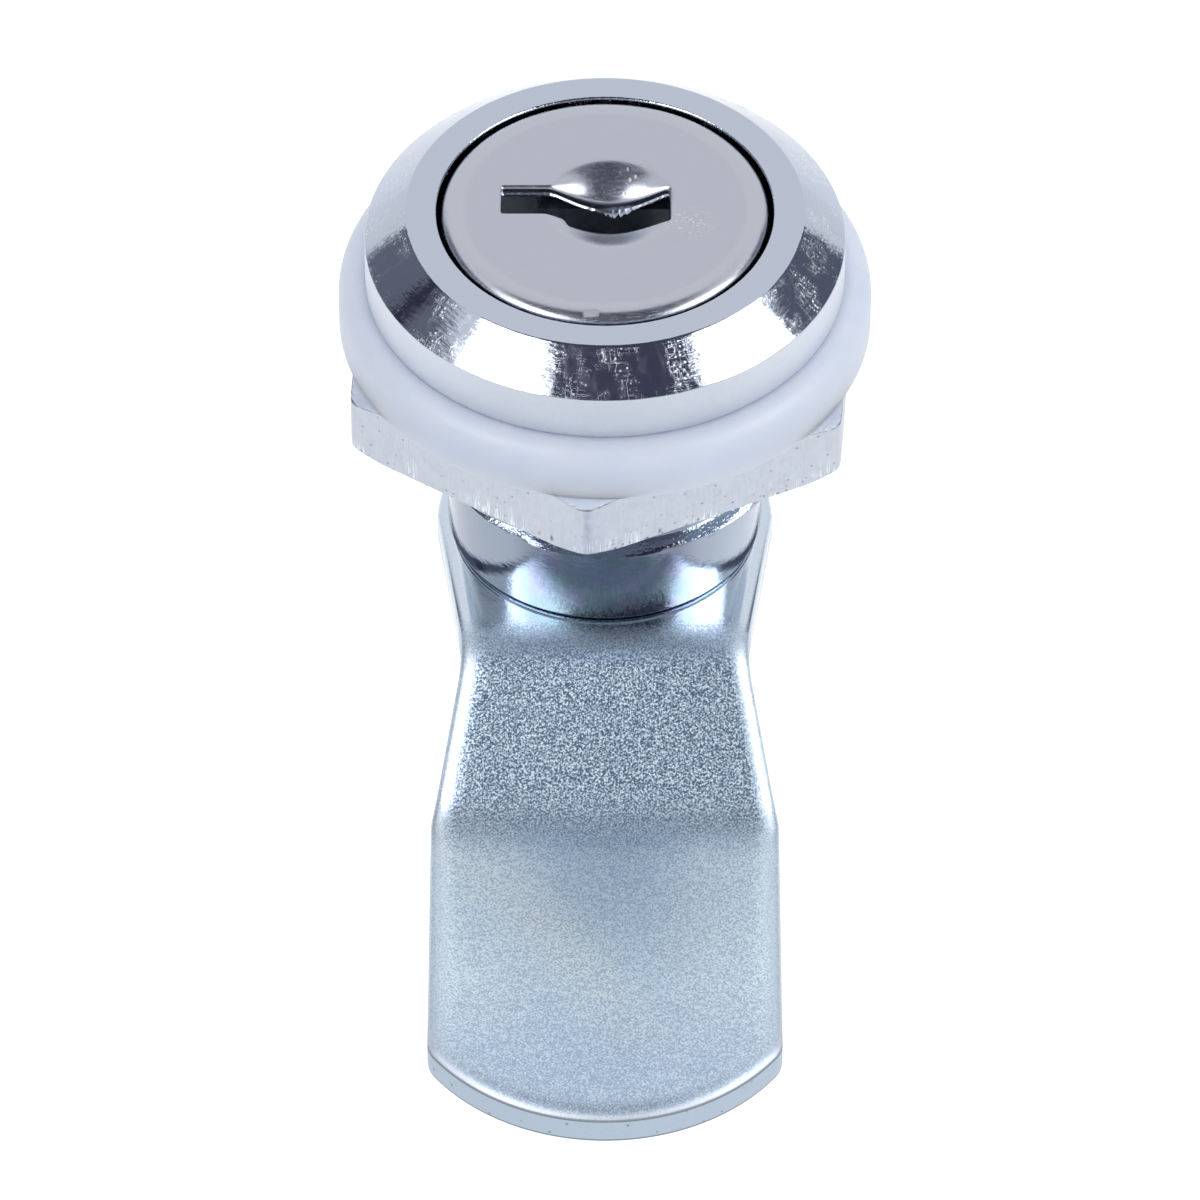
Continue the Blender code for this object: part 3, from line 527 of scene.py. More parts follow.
def build_face_cap(material):
    """The pressed cap as one net of points between the slot's edge and the rolled rim, top and under."""
    slot = even_loop(keyway_outline(), CAP_POINTS)
    middle = np.array([(KEYWAY_LEFT + KEYWAY_RIGHT) / 2, (KEYWAY_FAR + KEYWAY_NEAR) / 2])
    away = slot - middle
    angles = np.unwrap(np.arctan2(away[:, 1], away[:, 0] * CAP_FAN))
    flat_end = CAP_RADIUS - CAP_ROLL_WIDTH
    rim = np.stack([np.cos(angles), np.sin(angles)], axis=1)

    inner_shares = np.linspace(0.0, CAP_INNER_SHARE, CAP_INNER_ROWS + 1)[:-1]
    spread = np.concatenate([inner_shares, np.linspace(CAP_INNER_SHARE, 1.0, CAP_OUTER_ROWS)])
    full_roll = SLOT_ROLL_FULL * DIMPLE_DEPTH
    in_dimple = np.clip(dimple_depth(slot[:, 0], slot[:, 1]) / full_roll, 0.0, 1.0)
    to_far = np.clip(-inward_normals(slot)[:, 1], 0.0, 1.0)
    roll, roll_drop = (
        edge + (near + (far - near) * to_far - edge) * in_dimple
        for edge, near, far in zip(SLOT_ROLL, SLOT_ROLL_NEAR, SLOT_ROLL_FAR)
    )
    top_rows = []
    under_rows = []
    for share in spread:
        flat = slot * (1 - share) + rim * flat_end * share
        from_edge = np.linalg.norm(flat - slot, axis=1)
        turn_in = np.clip(1.0 - from_edge / roll, 0.0, 1.0)
        curl = roll_drop * (1.0 - np.sqrt(1.0 - turn_in ** 2))
        depth = dimple_depth(flat[:, 0], flat[:, 1]) + curl
        top_rows.append(np.column_stack([flat, CAP_TOP - depth]))
        under_rows.append(np.column_stack([flat, CAP_TOP - CAP_SHEET - depth]))
    burr_rows = slot_burr(slot, under_rows[0][:, 2])
    under_rows[0] = burr_rows[0]

    def rim_rows(profile):
        return [np.column_stack([rim * radius, np.full(CAP_POINTS, height)]) for radius, height in profile]

    skirt = CAP_TOP - CAP_SKIRT
    outer = [
        (flat_end + CAP_ROLL_WIDTH * math.sin(turn), CAP_TOP - CAP_ROLL_DROP * (1 - math.cos(turn)))
        for turn in quarter_turn(CAP_ROLL_STEPS)[1:]
    ]
    outer.append((CAP_RADIUS, skirt))
    inside = CAP_RADIUS - CAP_SHEET
    inner = [(inside, skirt), (inside, CAP_TOP - CAP_SHEET - CAP_ROLL_DROP / 2)]
    rows = top_rows + rim_rows(outer) + rim_rows(inner) + under_rows[::-1] + burr_rows[1:]
    bm = skin(rows, closed=True)
    return make_piece("fine_face_cap", bm, material, "turning_plug", ["face_cap"])


def cam_slant_length():
    bend_drop = (CAM_UPPER_BEND_RADIUS + CAM_LOWER_BEND_RADIUS) * (1 - math.cos(CAM_BEND_ANGLE))
    return (CAM_STEP - bend_drop) / math.sin(CAM_BEND_ANGLE)


def cam_path(distance):
    """Where the sheet's middle lies after bending, and its slope, at a distance from the axis."""
    angle = CAM_BEND_ANGLE
    upper = CAM_UPPER_BEND_RADIUS
    lower = CAM_LOWER_BEND_RADIUS
    slant = cam_slant_length()
    middle = CAM_HEAD_TOP - CAM_SHEET / 2
    along = max(distance - CAM_BEND_AT, 0.0)
    first = min(along / upper, angle)
    straight = min(max(along - upper * angle, 0.0), slant)
    second = min(max(along - upper * angle - slant, 0.0) / lower, angle)
    rest = max(along - (upper + lower) * angle - slant, 0.0)
    y = -min(distance, CAM_BEND_AT) - upper * math.sin(first) - straight * math.cos(angle)
    y -= lower * (math.sin(angle) - math.sin(angle - second)) + rest
    z = middle - upper * (1 - math.cos(first)) - straight * math.sin(angle)
    z -= lower * (math.cos(angle - second) - math.cos(angle))
    return y, z, first - second


def cam_outline():
    """The flat blank: round head, waisted neck, parallel end and a wide round tip."""
    tip = 2 * CAM_REACH + cam_path(CAM_REACH)[0]
    tip_centre = tip - CAM_TIP_RADIUS
    corner_x = CAM_END_HALF_WIDTH - CAM_TIP_CORNER
    corner_drop = math.sqrt((CAM_TIP_RADIUS - CAM_TIP_CORNER) ** 2 - corner_x ** 2)
    corner_centre = (-corner_x, -tip_centre - corner_drop)
    meeting = math.atan2(corner_x, corner_drop)
    head = arc((0, 0), CAM_HEAD_RADIUS, 0.0, math.pi, CAM_HEAD_STEPS)
    waist = [
        (-CAM_NECK_HALF_WIDTH, -CAM_NECK_AT, CAM_NECK_FILLET),
        (-CAM_END_HALF_WIDTH, -CAM_SHOULDER_AT, CAM_SHOULDER_FILLET),
    ]
    start = -math.pi / 2 - meeting
    corner = arc(corner_centre, CAM_TIP_CORNER, -math.pi, start, CAM_CORNER_STEPS)
    tip_end = start + 2 * meeting
    tip_arc = arc((0, -tip_centre), CAM_TIP_RADIUS, start, tip_end, CAM_TIP_STEPS)[1:-1]
    corners = [(x, y, 0.0) for x, y in head] + waist + [(x, y, 0.0) for x, y in corner + tip_arc]
    corners += [(-x, y, 0.0) for x, y in reversed(corner)]
    corners += [(-x, y, radius) for x, y, radius in reversed(waist)]
    return np.array(rounded(corners, steps=CAM_FILLET_STEPS))


def inward_normals(loop):
    along = np.roll(loop, -1, axis=0) - np.roll(loop, 1, axis=0)
    along /= np.linalg.norm(along, axis=1, keepdims=True)
    return np.stack([-along[:, 1], along[:, 0]], axis=1)


def build_cam(material):
    """A flat blank with a rolled upper edge, cut across where it bends, then bent."""
    loop = cam_outline()
    normals = inward_normals(loop)
    half = CAM_SHEET / 2
    profile = []
    for turn in quarter_turn(CAM_UNDER_STEPS):
        profile.append((CAM_UNDER_EDGE * (1 - math.sin(turn)), -half + CAM_UNDER_EDGE * (1 - math.cos(turn))))
    for turn in quarter_turn(CAM_ROLL_STEPS):
        inset = CAM_EDGE_WIDTH * (1 - math.cos(turn))
        profile.append((inset, half - CAM_EDGE_DEPTH * (1 - math.sin(turn))))
    size = len(loop)
    rows = [np.column_stack([loop + normals * inset, np.full(size, height)]) for inset, height in profile]
    bm = skin(rows, closed=False)
    bm.verts.ensure_lookup_table()
    corners = [(1, 1), (-1, 1), (-1, -1), (1, -1)]
    holes = []
    for low, start in ((True, 0), (False, len(rows) - 1)):
        outer = bm.verts[start * size:(start + 1) * size]
        height = outer[0].co.z
        hole = [bm.verts.new((x * CAM_HOLE_HALF, y * CAM_HOLE_HALF, height)) for x, y in corners]
        holes.append(hole)
        bm.verts.ensure_lookup_table()
        edges = [bm.edges.get((outer[k - 1], outer[k])) for k in range(size)]
        edges += [bm.edges.new((hole[k - 1], hole[k])) for k in range(4)]
        bmesh.ops.triangle_fill(bm, use_beauty=True, edges=edges)
        bm.verts.ensure_lookup_table()
    low_hole, high_hole = holes
    for k in range(4):
        bm.faces.new((low_hole[k - 1], low_hole[k], high_hole[k], high_hole[k - 1]))
    upper = CAM_UPPER_BEND_RADIUS * CAM_BEND_ANGLE
    lower = CAM_LOWER_BEND_RADIUS * CAM_BEND_ANGLE
    for start, length in ((CAM_BEND_AT, upper), (CAM_BEND_AT + upper + cam_slant_length(), lower)):
        for step in range(BEND_CUTS + 1):
            cut = -(start + length * step / BEND_CUTS)
            everything = bm.verts[:] + bm.edges[:] + bm.faces[:]
            bmesh.ops.bisect_plane(bm, geom=everything, dist=1e-7, plane_co=(0, cut, 0), plane_no=(0, 1, 0))
    for vertex in bm.verts:
        y, z, slope = cam_path(-vertex.co.y)
        lift = vertex.co.z
        vertex.co.y = y - lift * math.sin(slope)
        vertex.co.z = z + lift * math.cos(slope)
    bmesh.ops.remove_doubles(bm, verts=bm.verts[:], dist=1e-7)
    return make_piece("fine_cam", bm, material, "turning_plug", ["cam"])


def build_spring(name, material):
    """A coil spring along X, from the box of the node that it stands for."""
    low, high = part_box(name)
    middle = (low + high) / 2
    coil = (high.z - low.z) / 2 - SPRING_WIRE_RADIUS
    turns = np.linspace(0.0, SPRING_TURNS * math.tau, SPRING_TURNS * SPRING_STEPS + 1)
    start = low.x + SPRING_WIRE_RADIUS
    rise = (high.x - SPRING_WIRE_RADIUS - start) / turns[-1]
    around = turn_angles(SPRING_SIDES)
    rows = []
    for turn in turns:
        outward = np.array([0.0, math.cos(turn), math.sin(turn)])
        along = np.array([rise, -coil * math.sin(turn), coil * math.cos(turn)])
        across = np.cross(along / np.linalg.norm(along), outward)
        centre = np.array([start + rise * turn, middle.y, middle.z]) + coil * outward
        spokes = [math.cos(a) * outward + math.sin(a) * across for a in around]
        rows.append([centre + SPRING_WIRE_RADIUS * spoke for spoke in spokes])
    bm = skin(rows, closed=False)
    fill_ring(bm, 0, SPRING_SIDES)
    fill_ring(bm, len(rows) - 1, SPRING_SIDES)
    return make_piece("fine_" + name, bm, material, "turning_plug", [name], sharp_angle=60.0)


def build_retaining_spring(material):
    """The spring that the retaining wafer shortens when it is pressed into the plug."""
    spring = build_spring("retaining_spring", material)
    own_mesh(spring)


def true_normal(tree):
    return add(tree, "NewGeometry").outputs["True Normal"]


def facing_up(tree):
    """How squarely the surface faces up or down: 1 for a level face and 0 for a wall."""
    return calculate(tree, "ABSOLUTE", split(tree, true_normal(tree))[2])


def new_tree(name):
    """A material with a Principled shader, its node tree and that shader."""
    material = bpy.data.materials.new(name)
    material.use_nodes = True
    return material, material.node_tree, material.node_tree.nodes["Principled BSDF"]


def add(tree, kind, values=None, **settings):
    """Add a node; each value is a number or colour for its socket, or another node's output to link."""
    made = tree.nodes.new("ShaderNode" + kind)
    for key, value in settings.items():
        setattr(made, key, value)
    for key, value in (values or {}).items():
        if isinstance(value, bpy.types.NodeSocket):
            tree.links.new(value, made.inputs[key])
        else:
            made.inputs[key].default_value = value
    return made


def calculate(tree, operation, *values):
    return add(tree, "Math", dict(enumerate(values)), operation=operation).outputs[0]


def times(tree, one, other):
    return calculate(tree, "MULTIPLY", one, other)


def away_from(tree, value, middle):
    """How far a value lies from a middle, to either side."""
    return calculate(tree, "ABSOLUTE", calculate(tree, "SUBTRACT", value, middle))


def split(tree, vector):
    """The three parts of a vector."""
    return add(tree, "SeparateXYZ", {0: vector}).outputs


def from_axis(tree, parts):
    """Distance from the lock's axis."""
    flat = add(tree, "CombineXYZ", {0: parts[0], 1: parts[1]}).outputs[0]
    return add(tree, "VectorMath", {0: flat}, operation="LENGTH").outputs["Value"]


def distance_to(tree, place, point):
    return add(tree, "VectorMath", {0: place, 1: point}, operation="DISTANCE").outputs["Value"]


def map_range(tree, value, low, high, out_low=0.0, out_high=1.0, smooth=False):
    kind = "SMOOTHSTEP" if smooth else "LINEAR"
    values = {"Value": value, "From Min": low, "From Max": high, "To Min": out_low, "To Max": out_high}
    return add(tree, "MapRange", values, interpolation_type=kind, clamp=True).outputs["Result"]


def mix_colour(tree, factor, one, other):
    made = add(tree, "Mix", {0: factor}, data_type="RGBA")
    for index, value in ((6, one), (7, other)):
        if isinstance(value, bpy.types.NodeSocket):
            tree.links.new(value, made.inputs[index])
        else:
            made.inputs[index].default_value = (*value, 1.0)
    return made.outputs[2]


def millimetres(tree):
    """The piece's own coordinates in millimetres."""
    place = add(tree, "TexCoord").outputs["Object"]
    return add(tree, "VectorMath", {0: place, "Scale": 1 / MM}, operation="SCALE").outputs[0]


def stretched(tree, place, scale):
    return add(tree, "VectorMath", {0: place, 1: scale}, operation="MULTIPLY").outputs[0]


def turned_place(tree, place, around, across):
    """Coordinates that run slowly round the axis and quickly across it, as turning marks do."""
    parts = split(tree, place)
    flat = add(tree, "CombineXYZ", {0: parts[0], 1: parts[1]}).outputs[0]
    radius = add(tree, "VectorMath", {0: flat}, operation="LENGTH").outputs["Value"]
    direction = add(tree, "VectorMath", {0: flat}, operation="NORMALIZE").outputs[0]
    slow = add(tree, "VectorMath", {0: direction, "Scale": around}, operation="SCALE").outputs[0]
    outward = times(tree, calculate(tree, "SUBTRACT", radius, parts[2]), across)
    quick = add(tree, "CombineXYZ", {2: outward}).outputs[0]
    return add(tree, "VectorMath", {0: slow, 1: quick}, operation="ADD").outputs[0]


def noise_value(tree, place, scale, detail=3.0, rough=0.5):
    values = {"Vector": place, "Scale": scale, "Detail": detail, "Roughness": rough}
    return add(tree, "TexNoise", values).outputs["Fac"]


def specks(tree, place, scale, size, share):
    """Small round marks, one or none in each cell: 1 in a mark's middle and 0 outside."""
    cells = add(tree, "TexVoronoi", {"Vector": place, "Scale": scale}, feature="F1")
    draw = add(tree, "SeparateColor", {0: cells.outputs["Color"]}).outputs[0]
    kept = calculate(tree, "LESS_THAN", draw, share)
    dot = map_range(tree, cells.outputs["Distance"], size * scale, 0.0, smooth=True)
    return times(tree, dot, kept)


def scratches(tree, place, scale, stretch, thin):
    """Fine lines along a direction: 1 on a line and 0 between."""
    streaks = noise_value(tree, stretched(tree, place, stretch), scale, 2.0)
    return map_range(tree, away_from(tree, streaks, 0.5), thin, 0.0, smooth=True)


def bump(tree, height, depth, below=None):
    """A bump of the given depth in metres, laid over another bump if there is one."""
    values = {"Height": height, "Distance": depth, "Strength": 1.0}
    if below is not None:
        values["Normal"] = below
    return add(tree, "Bump", values).outputs[0]


def chrome():
    """Bright plated finish: a worn bevel, a dull rim, painted shade darkening the recess gap, and a barrel
    with a painted dark reflection in front and a painted lighter reflection on its right.
    """
    material, tree, shader = new_tree("chrome")
    place = millimetres(tree)
    parts = split(tree, place)
    height = parts[2]
    radius = from_axis(tree, parts)

    marks = noise_value(tree, turned_place(tree, place, 16.0, 4.0), 1.0, 3.0, 0.6)
    across = scratches(tree, turned_place(tree, place, 40.0, 0.5), 1.0, (1.0, 1.0, 1.0), 0.006)
    along = scratches(tree, turned_place(tree, place, 5.0, 6.0), 1.0, (1.0, 1.0, 1.0), 0.006)
    patches = map_range(tree, noise_value(tree, place, 0.45, 3.0), 0.46, 0.58)
    wave = noise_value(tree, place, 0.9, 2.0)
    on_bevel = times(tree, map_range(tree, height, *BEVEL_LOW), map_range(tree, height, *BEVEL_HIGH))
    in_patches = times(tree, on_bevel, patches)
    streaks = noise_value(tree, turned_place(tree, place, 22.0, 0.4), 1.0, 2.0)
    streaks = times(tree, map_range(tree, streaks, 0.48, 0.66), on_bevel)
    nicks = times(tree, specks(tree, place, 3.6, 0.11, 0.55), in_patches)
    lines = times(tree, calculate(tree, "MAXIMUM", across, along), in_patches)
    sparkle = noise_value(tree, place, 5.0, 2.0)
    below_seat = map_range(tree, height, *BELOW_SEAT)
    above_seat = calculate(tree, "SUBTRACT", 1.0, below_seat)
    at_gap = times(tree, map_range(tree, radius, *GAP_EDGE), above_seat)
    at_thread = map_range(tree, height, *THREAD_LOW)
    rough_cast = calculate(tree, "ADD", at_gap, times(tree, at_thread, below_seat))
    normal = bump(tree, marks, 1.1e-5)
    normal = bump(tree, wave, 1.2e-5, normal)
    normal = bump(tree, lines, -1.5e-6, normal)
    normal = bump(tree, times(tree, sparkle, rough_cast), 2.5e-5, normal)
    tree.links.new(normal, shader.inputs["Normal"])

    # Painted shade: near-black colour in the recess gap between housing and cap, where shade falls.
    edge_noise = noise_value(tree, place, 3.0, 3.0)
    shade_top = calculate(tree, "ADD", height, times(tree, edge_noise, 0.7))
    painted_recess_shade = times(tree, map_range(tree, shade_top, *RECESS_SHADE_HIGH), map_range(tree, height, *RECESS_SHADE_LOW))
    painted_recess_shade = times(tree, map_range(tree, radius, *RECESS_WALL), painted_recess_shade)

    haze = noise_value(tree, place, 2.5, 4.0)
    polished = map_range(tree, haze, 0.35, 0.75, 0.04, 0.12)
    below_bevel = times(tree, map_range(tree, height, *RIM_HIGH), map_range(tree, height, *RIM_LOW))
    dull = times(tree, below_bevel, 0.5)
    worn = calculate(tree, "MAXIMUM", nicks, times(tree, lines, 0.75))
    dull = calculate(tree, "ADD", dull, times(tree, worn, 0.6))
    dull = calculate(tree, "ADD", dull, times(tree, streaks, 0.11))
    tree.links.new(calculate(tree, "ADD", polished, dull), shader.inputs["Roughness"])
    aside = calculate(tree, "ABSOLUTE", parts[0])
    rim = mix_colour(tree, map_range(tree, aside, *RIM_SIDES), (0.60, 0.64, 0.70), (0.70, 0.735, 0.80))
    colour = mix_colour(tree, below_bevel, (0.474, 0.521, 0.617), rim)
    # Painted reflection on the barrel: lighter toward its right, and dark teal across its front middle, as
    # chrome there mirrors bright and dark surroundings.
    blotches = map_range(tree, noise_value(tree, place, 0.45, 2.0), 0.42, 0.58)
    painted_dark_reflection = mix_colour(tree, blotches, (0.17, 0.225, 0.26), (0.215, 0.225, 0.30))
    right_painted_sheen = map_range(tree, parts[0], *BARREL_SHEEN_RIGHT)
    barrel = mix_colour(tree, right_painted_sheen, (0.29, 0.335, 0.41), (0.38, 0.435, 0.52))
    front_reflection_mask = map_range(tree, parts[1], *BARREL_REFLECTION_FRONT, smooth=True)
    front_reflection_mask = times(tree, front_reflection_mask, map_range(tree, aside, *BARREL_REFLECTION_MIDDLE, smooth=True))
    # Painted dark reflection across the barrel's front.
    barrel = mix_colour(tree, front_reflection_mask, barrel, painted_dark_reflection)
    colour = mix_colour(tree, below_seat, colour, barrel)
    colour = mix_colour(tree, worn, colour, (0.95, 0.97, 1.0))
    # Painted shade in the recess gap.
    colour = mix_colour(tree, painted_recess_shade, colour, (0.06, 0.063, 0.078))
    tree.links.new(colour, shader.inputs["Base Color"])
    shader.inputs["Metallic"].default_value = 1.0
    return material


def satin_nickel():
    """Satin plated sheet: fine grain, a painted sheen ring, key rubs, specks in the dimple and a nick in the
    rim.
    """
    material, tree, shader = new_tree("satin_nickel")
    place = millimetres(tree)
    grain = noise_value(tree, place, 14.0, 3.0)
    scuffs = scratches(tree, place, 1.2, (1.0, 4.0, 1.0), 0.012)
    near_slot = distance_to(tree, place, KEY_WEAR_PLACE)
    in_dimple = distance_to(tree, place, DIMPLE_WEAR_PLACE)
    parts = split(tree, place)
    nick_sides = map_range(tree, away_from(tree, parts[0], RIM_NICK_PLACE[0]), *RIM_NICK_SIDES)
    nick_ends = map_range(tree, away_from(tree, parts[1], RIM_NICK_PLACE[1]), *RIM_NICK_ENDS)
    nick = times(tree, nick_sides, nick_ends)
    rubs = map_range(tree, noise_value(tree, place, 4.5, 3.0, 0.6), 0.56, 0.62)
    rubs = times(tree, rubs, map_range(tree, near_slot, 1.6, 0.5))
    flecks = specks(tree, stretched(tree, place, (1.3, 0.7, 1.0)), 2.9, 0.13, 0.8)
    flecks = times(tree, flecks, map_range(tree, in_dimple, 1.2, 0.8))
    rubs = calculate(tree, "MAXIMUM", rubs, flecks)
    normal = bump(tree, grain, 6e-7)
    normal = bump(tree, scuffs, 1.5e-6, normal)
    normal = bump(tree, rubs, 1.2e-5, normal)
    haze = noise_value(tree, place, 1.2, 4.0)
    satin = map_range(tree, haze, 0.3, 0.7, 0.20, 0.27)
    dulled = times(tree, calculate(tree, "MAXIMUM", rubs, nick), 0.4)
    tree.links.new(calculate(tree, "ADD", satin, dulled), shader.inputs["Roughness"])
    tree.links.new(normal, shader.inputs["Normal"])
    # Painted sheen: a paler ring where the flat face slopes into its rolled edge.
    outer = map_range(tree, from_axis(tree, parts), *CAP_SHEEN_RING, 0.0, 0.6)
    colour = mix_colour(tree, outer, (0.450, 0.480, 0.550), (0.490, 0.520, 0.590))
    colour = mix_colour(tree, times(tree, rubs, 0.7), colour, (0.80, 0.83, 0.88))
    colour = mix_colour(tree, nick, colour, (0.43, 0.46, 0.52))
    tree.links.new(colour, shader.inputs["Base Color"])
    shader.inputs["Metallic"].default_value = 1.0
    return material


def nylon():
    """Translucent white moulded plastic."""
    material, tree, shader = new_tree("nylon")
    place = millimetres(tree)
    cloud = noise_value(tree, place, 0.35, 3.0)
    colour = mix_colour(tree, cloud, (0.62, 0.68, 0.84), (0.71, 0.76, 0.92))
    tree.links.new(colour, shader.inputs["Base Color"])
    surface = noise_value(tree, place, 1.6, 4.0)
    tree.links.new(bump(tree, surface, 2e-5), shader.inputs["Normal"])
    shader.inputs["Roughness"].default_value = 0.42
    shader.inputs["Subsurface Weight"].default_value = 0.8
    shader.inputs["Subsurface Radius"].default_value = (1.0, 1.1, 1.3)
    shader.inputs["Subsurface Scale"].default_value = 3.0 * MM
    return material


def zinc_plate():
    """Plated steel of the nut and screw: pale and pitted, chipped and combed toward the nut's lower edge; the
    nut's level faces are painted lighter against the shade between nut and washer, and its edges carry a
    painted shade line.
    """
    material, tree, shader = new_tree("zinc_plate")
    place = millimetres(tree)
    mottle = noise_value(tree, place, 1.3, 6.0, 0.6)
    dents = specks(tree, stretched(tree, place, (1, 1, 0.5)), 1.3, 0.17, 0.2)
    pits = calculate(tree, "MAXIMUM", specks(tree, place, 2.2, 0.10, 0.35), dents)
    height = split(tree, place)[2]
    at_bottom = map_range(tree, height, *NUT_CHIPPED)
    chips = times(tree, specks(tree, place, 2.6, 0.15, 0.5), at_bottom)
    pits = calculate(tree, "MAXIMUM", pits, chips)
    lines = scratches(tree, place, 1.6, (2.4, 2.4, 0.25), 0.02)
    low = map_range(tree, height, *NUT_COMBED, 0.0, 0.75)
    patches = map_range(tree, noise_value(tree, place, 0.5, 3.0), 0.49, 0.58)
    comb = scratches(tree, place, 1.0, (4.5, 4.5, 0.3), 0.05)
    comb = times(tree, comb, times(tree, low, patches))
    pale = mix_colour(tree, mottle, (0.44, 0.48, 0.54), (0.66, 0.69, 0.77))
    pale = mix_colour(tree, comb, pale, (0.95, 0.97, 1.0))
    colour = mix_colour(tree, pits, pale, (0.16, 0.17, 0.18))
    # Painted light: level faces lightened against the shade that falls between washer and nut.
    upward = facing_up(tree)
    level = map_range(tree, upward, 0.8, 0.9)
    colour = mix_colour(tree, level, colour, (0.62, 0.67, 0.76))
    # Painted shade: a dark line where the edges turn from the walls to the level faces.
    edge = times(tree, map_range(tree, upward, 0.15, 0.3), map_range(tree, upward, 0.9, 0.8))
    colour = mix_colour(tree, times(tree, edge, 0.75), colour, (0.20, 0.22, 0.26))
    tree.links.new(colour, shader.inputs["Base Color"])
    normal = bump(tree, mottle, 5e-5)
    normal = bump(tree, lines, -8e-6, normal)
    normal = bump(tree, pits, -3e-5, normal)
    rough = map_range(tree, mottle, 0.3, 0.7, 0.34, 0.54)
    rough = calculate(tree, "ADD", rough, times(tree, level, 0.25))
    tree.links.new(rough, shader.inputs["Roughness"])
    tree.links.new(normal, shader.inputs["Normal"])
    shader.inputs["Metallic"].default_value = 1.0
    return material


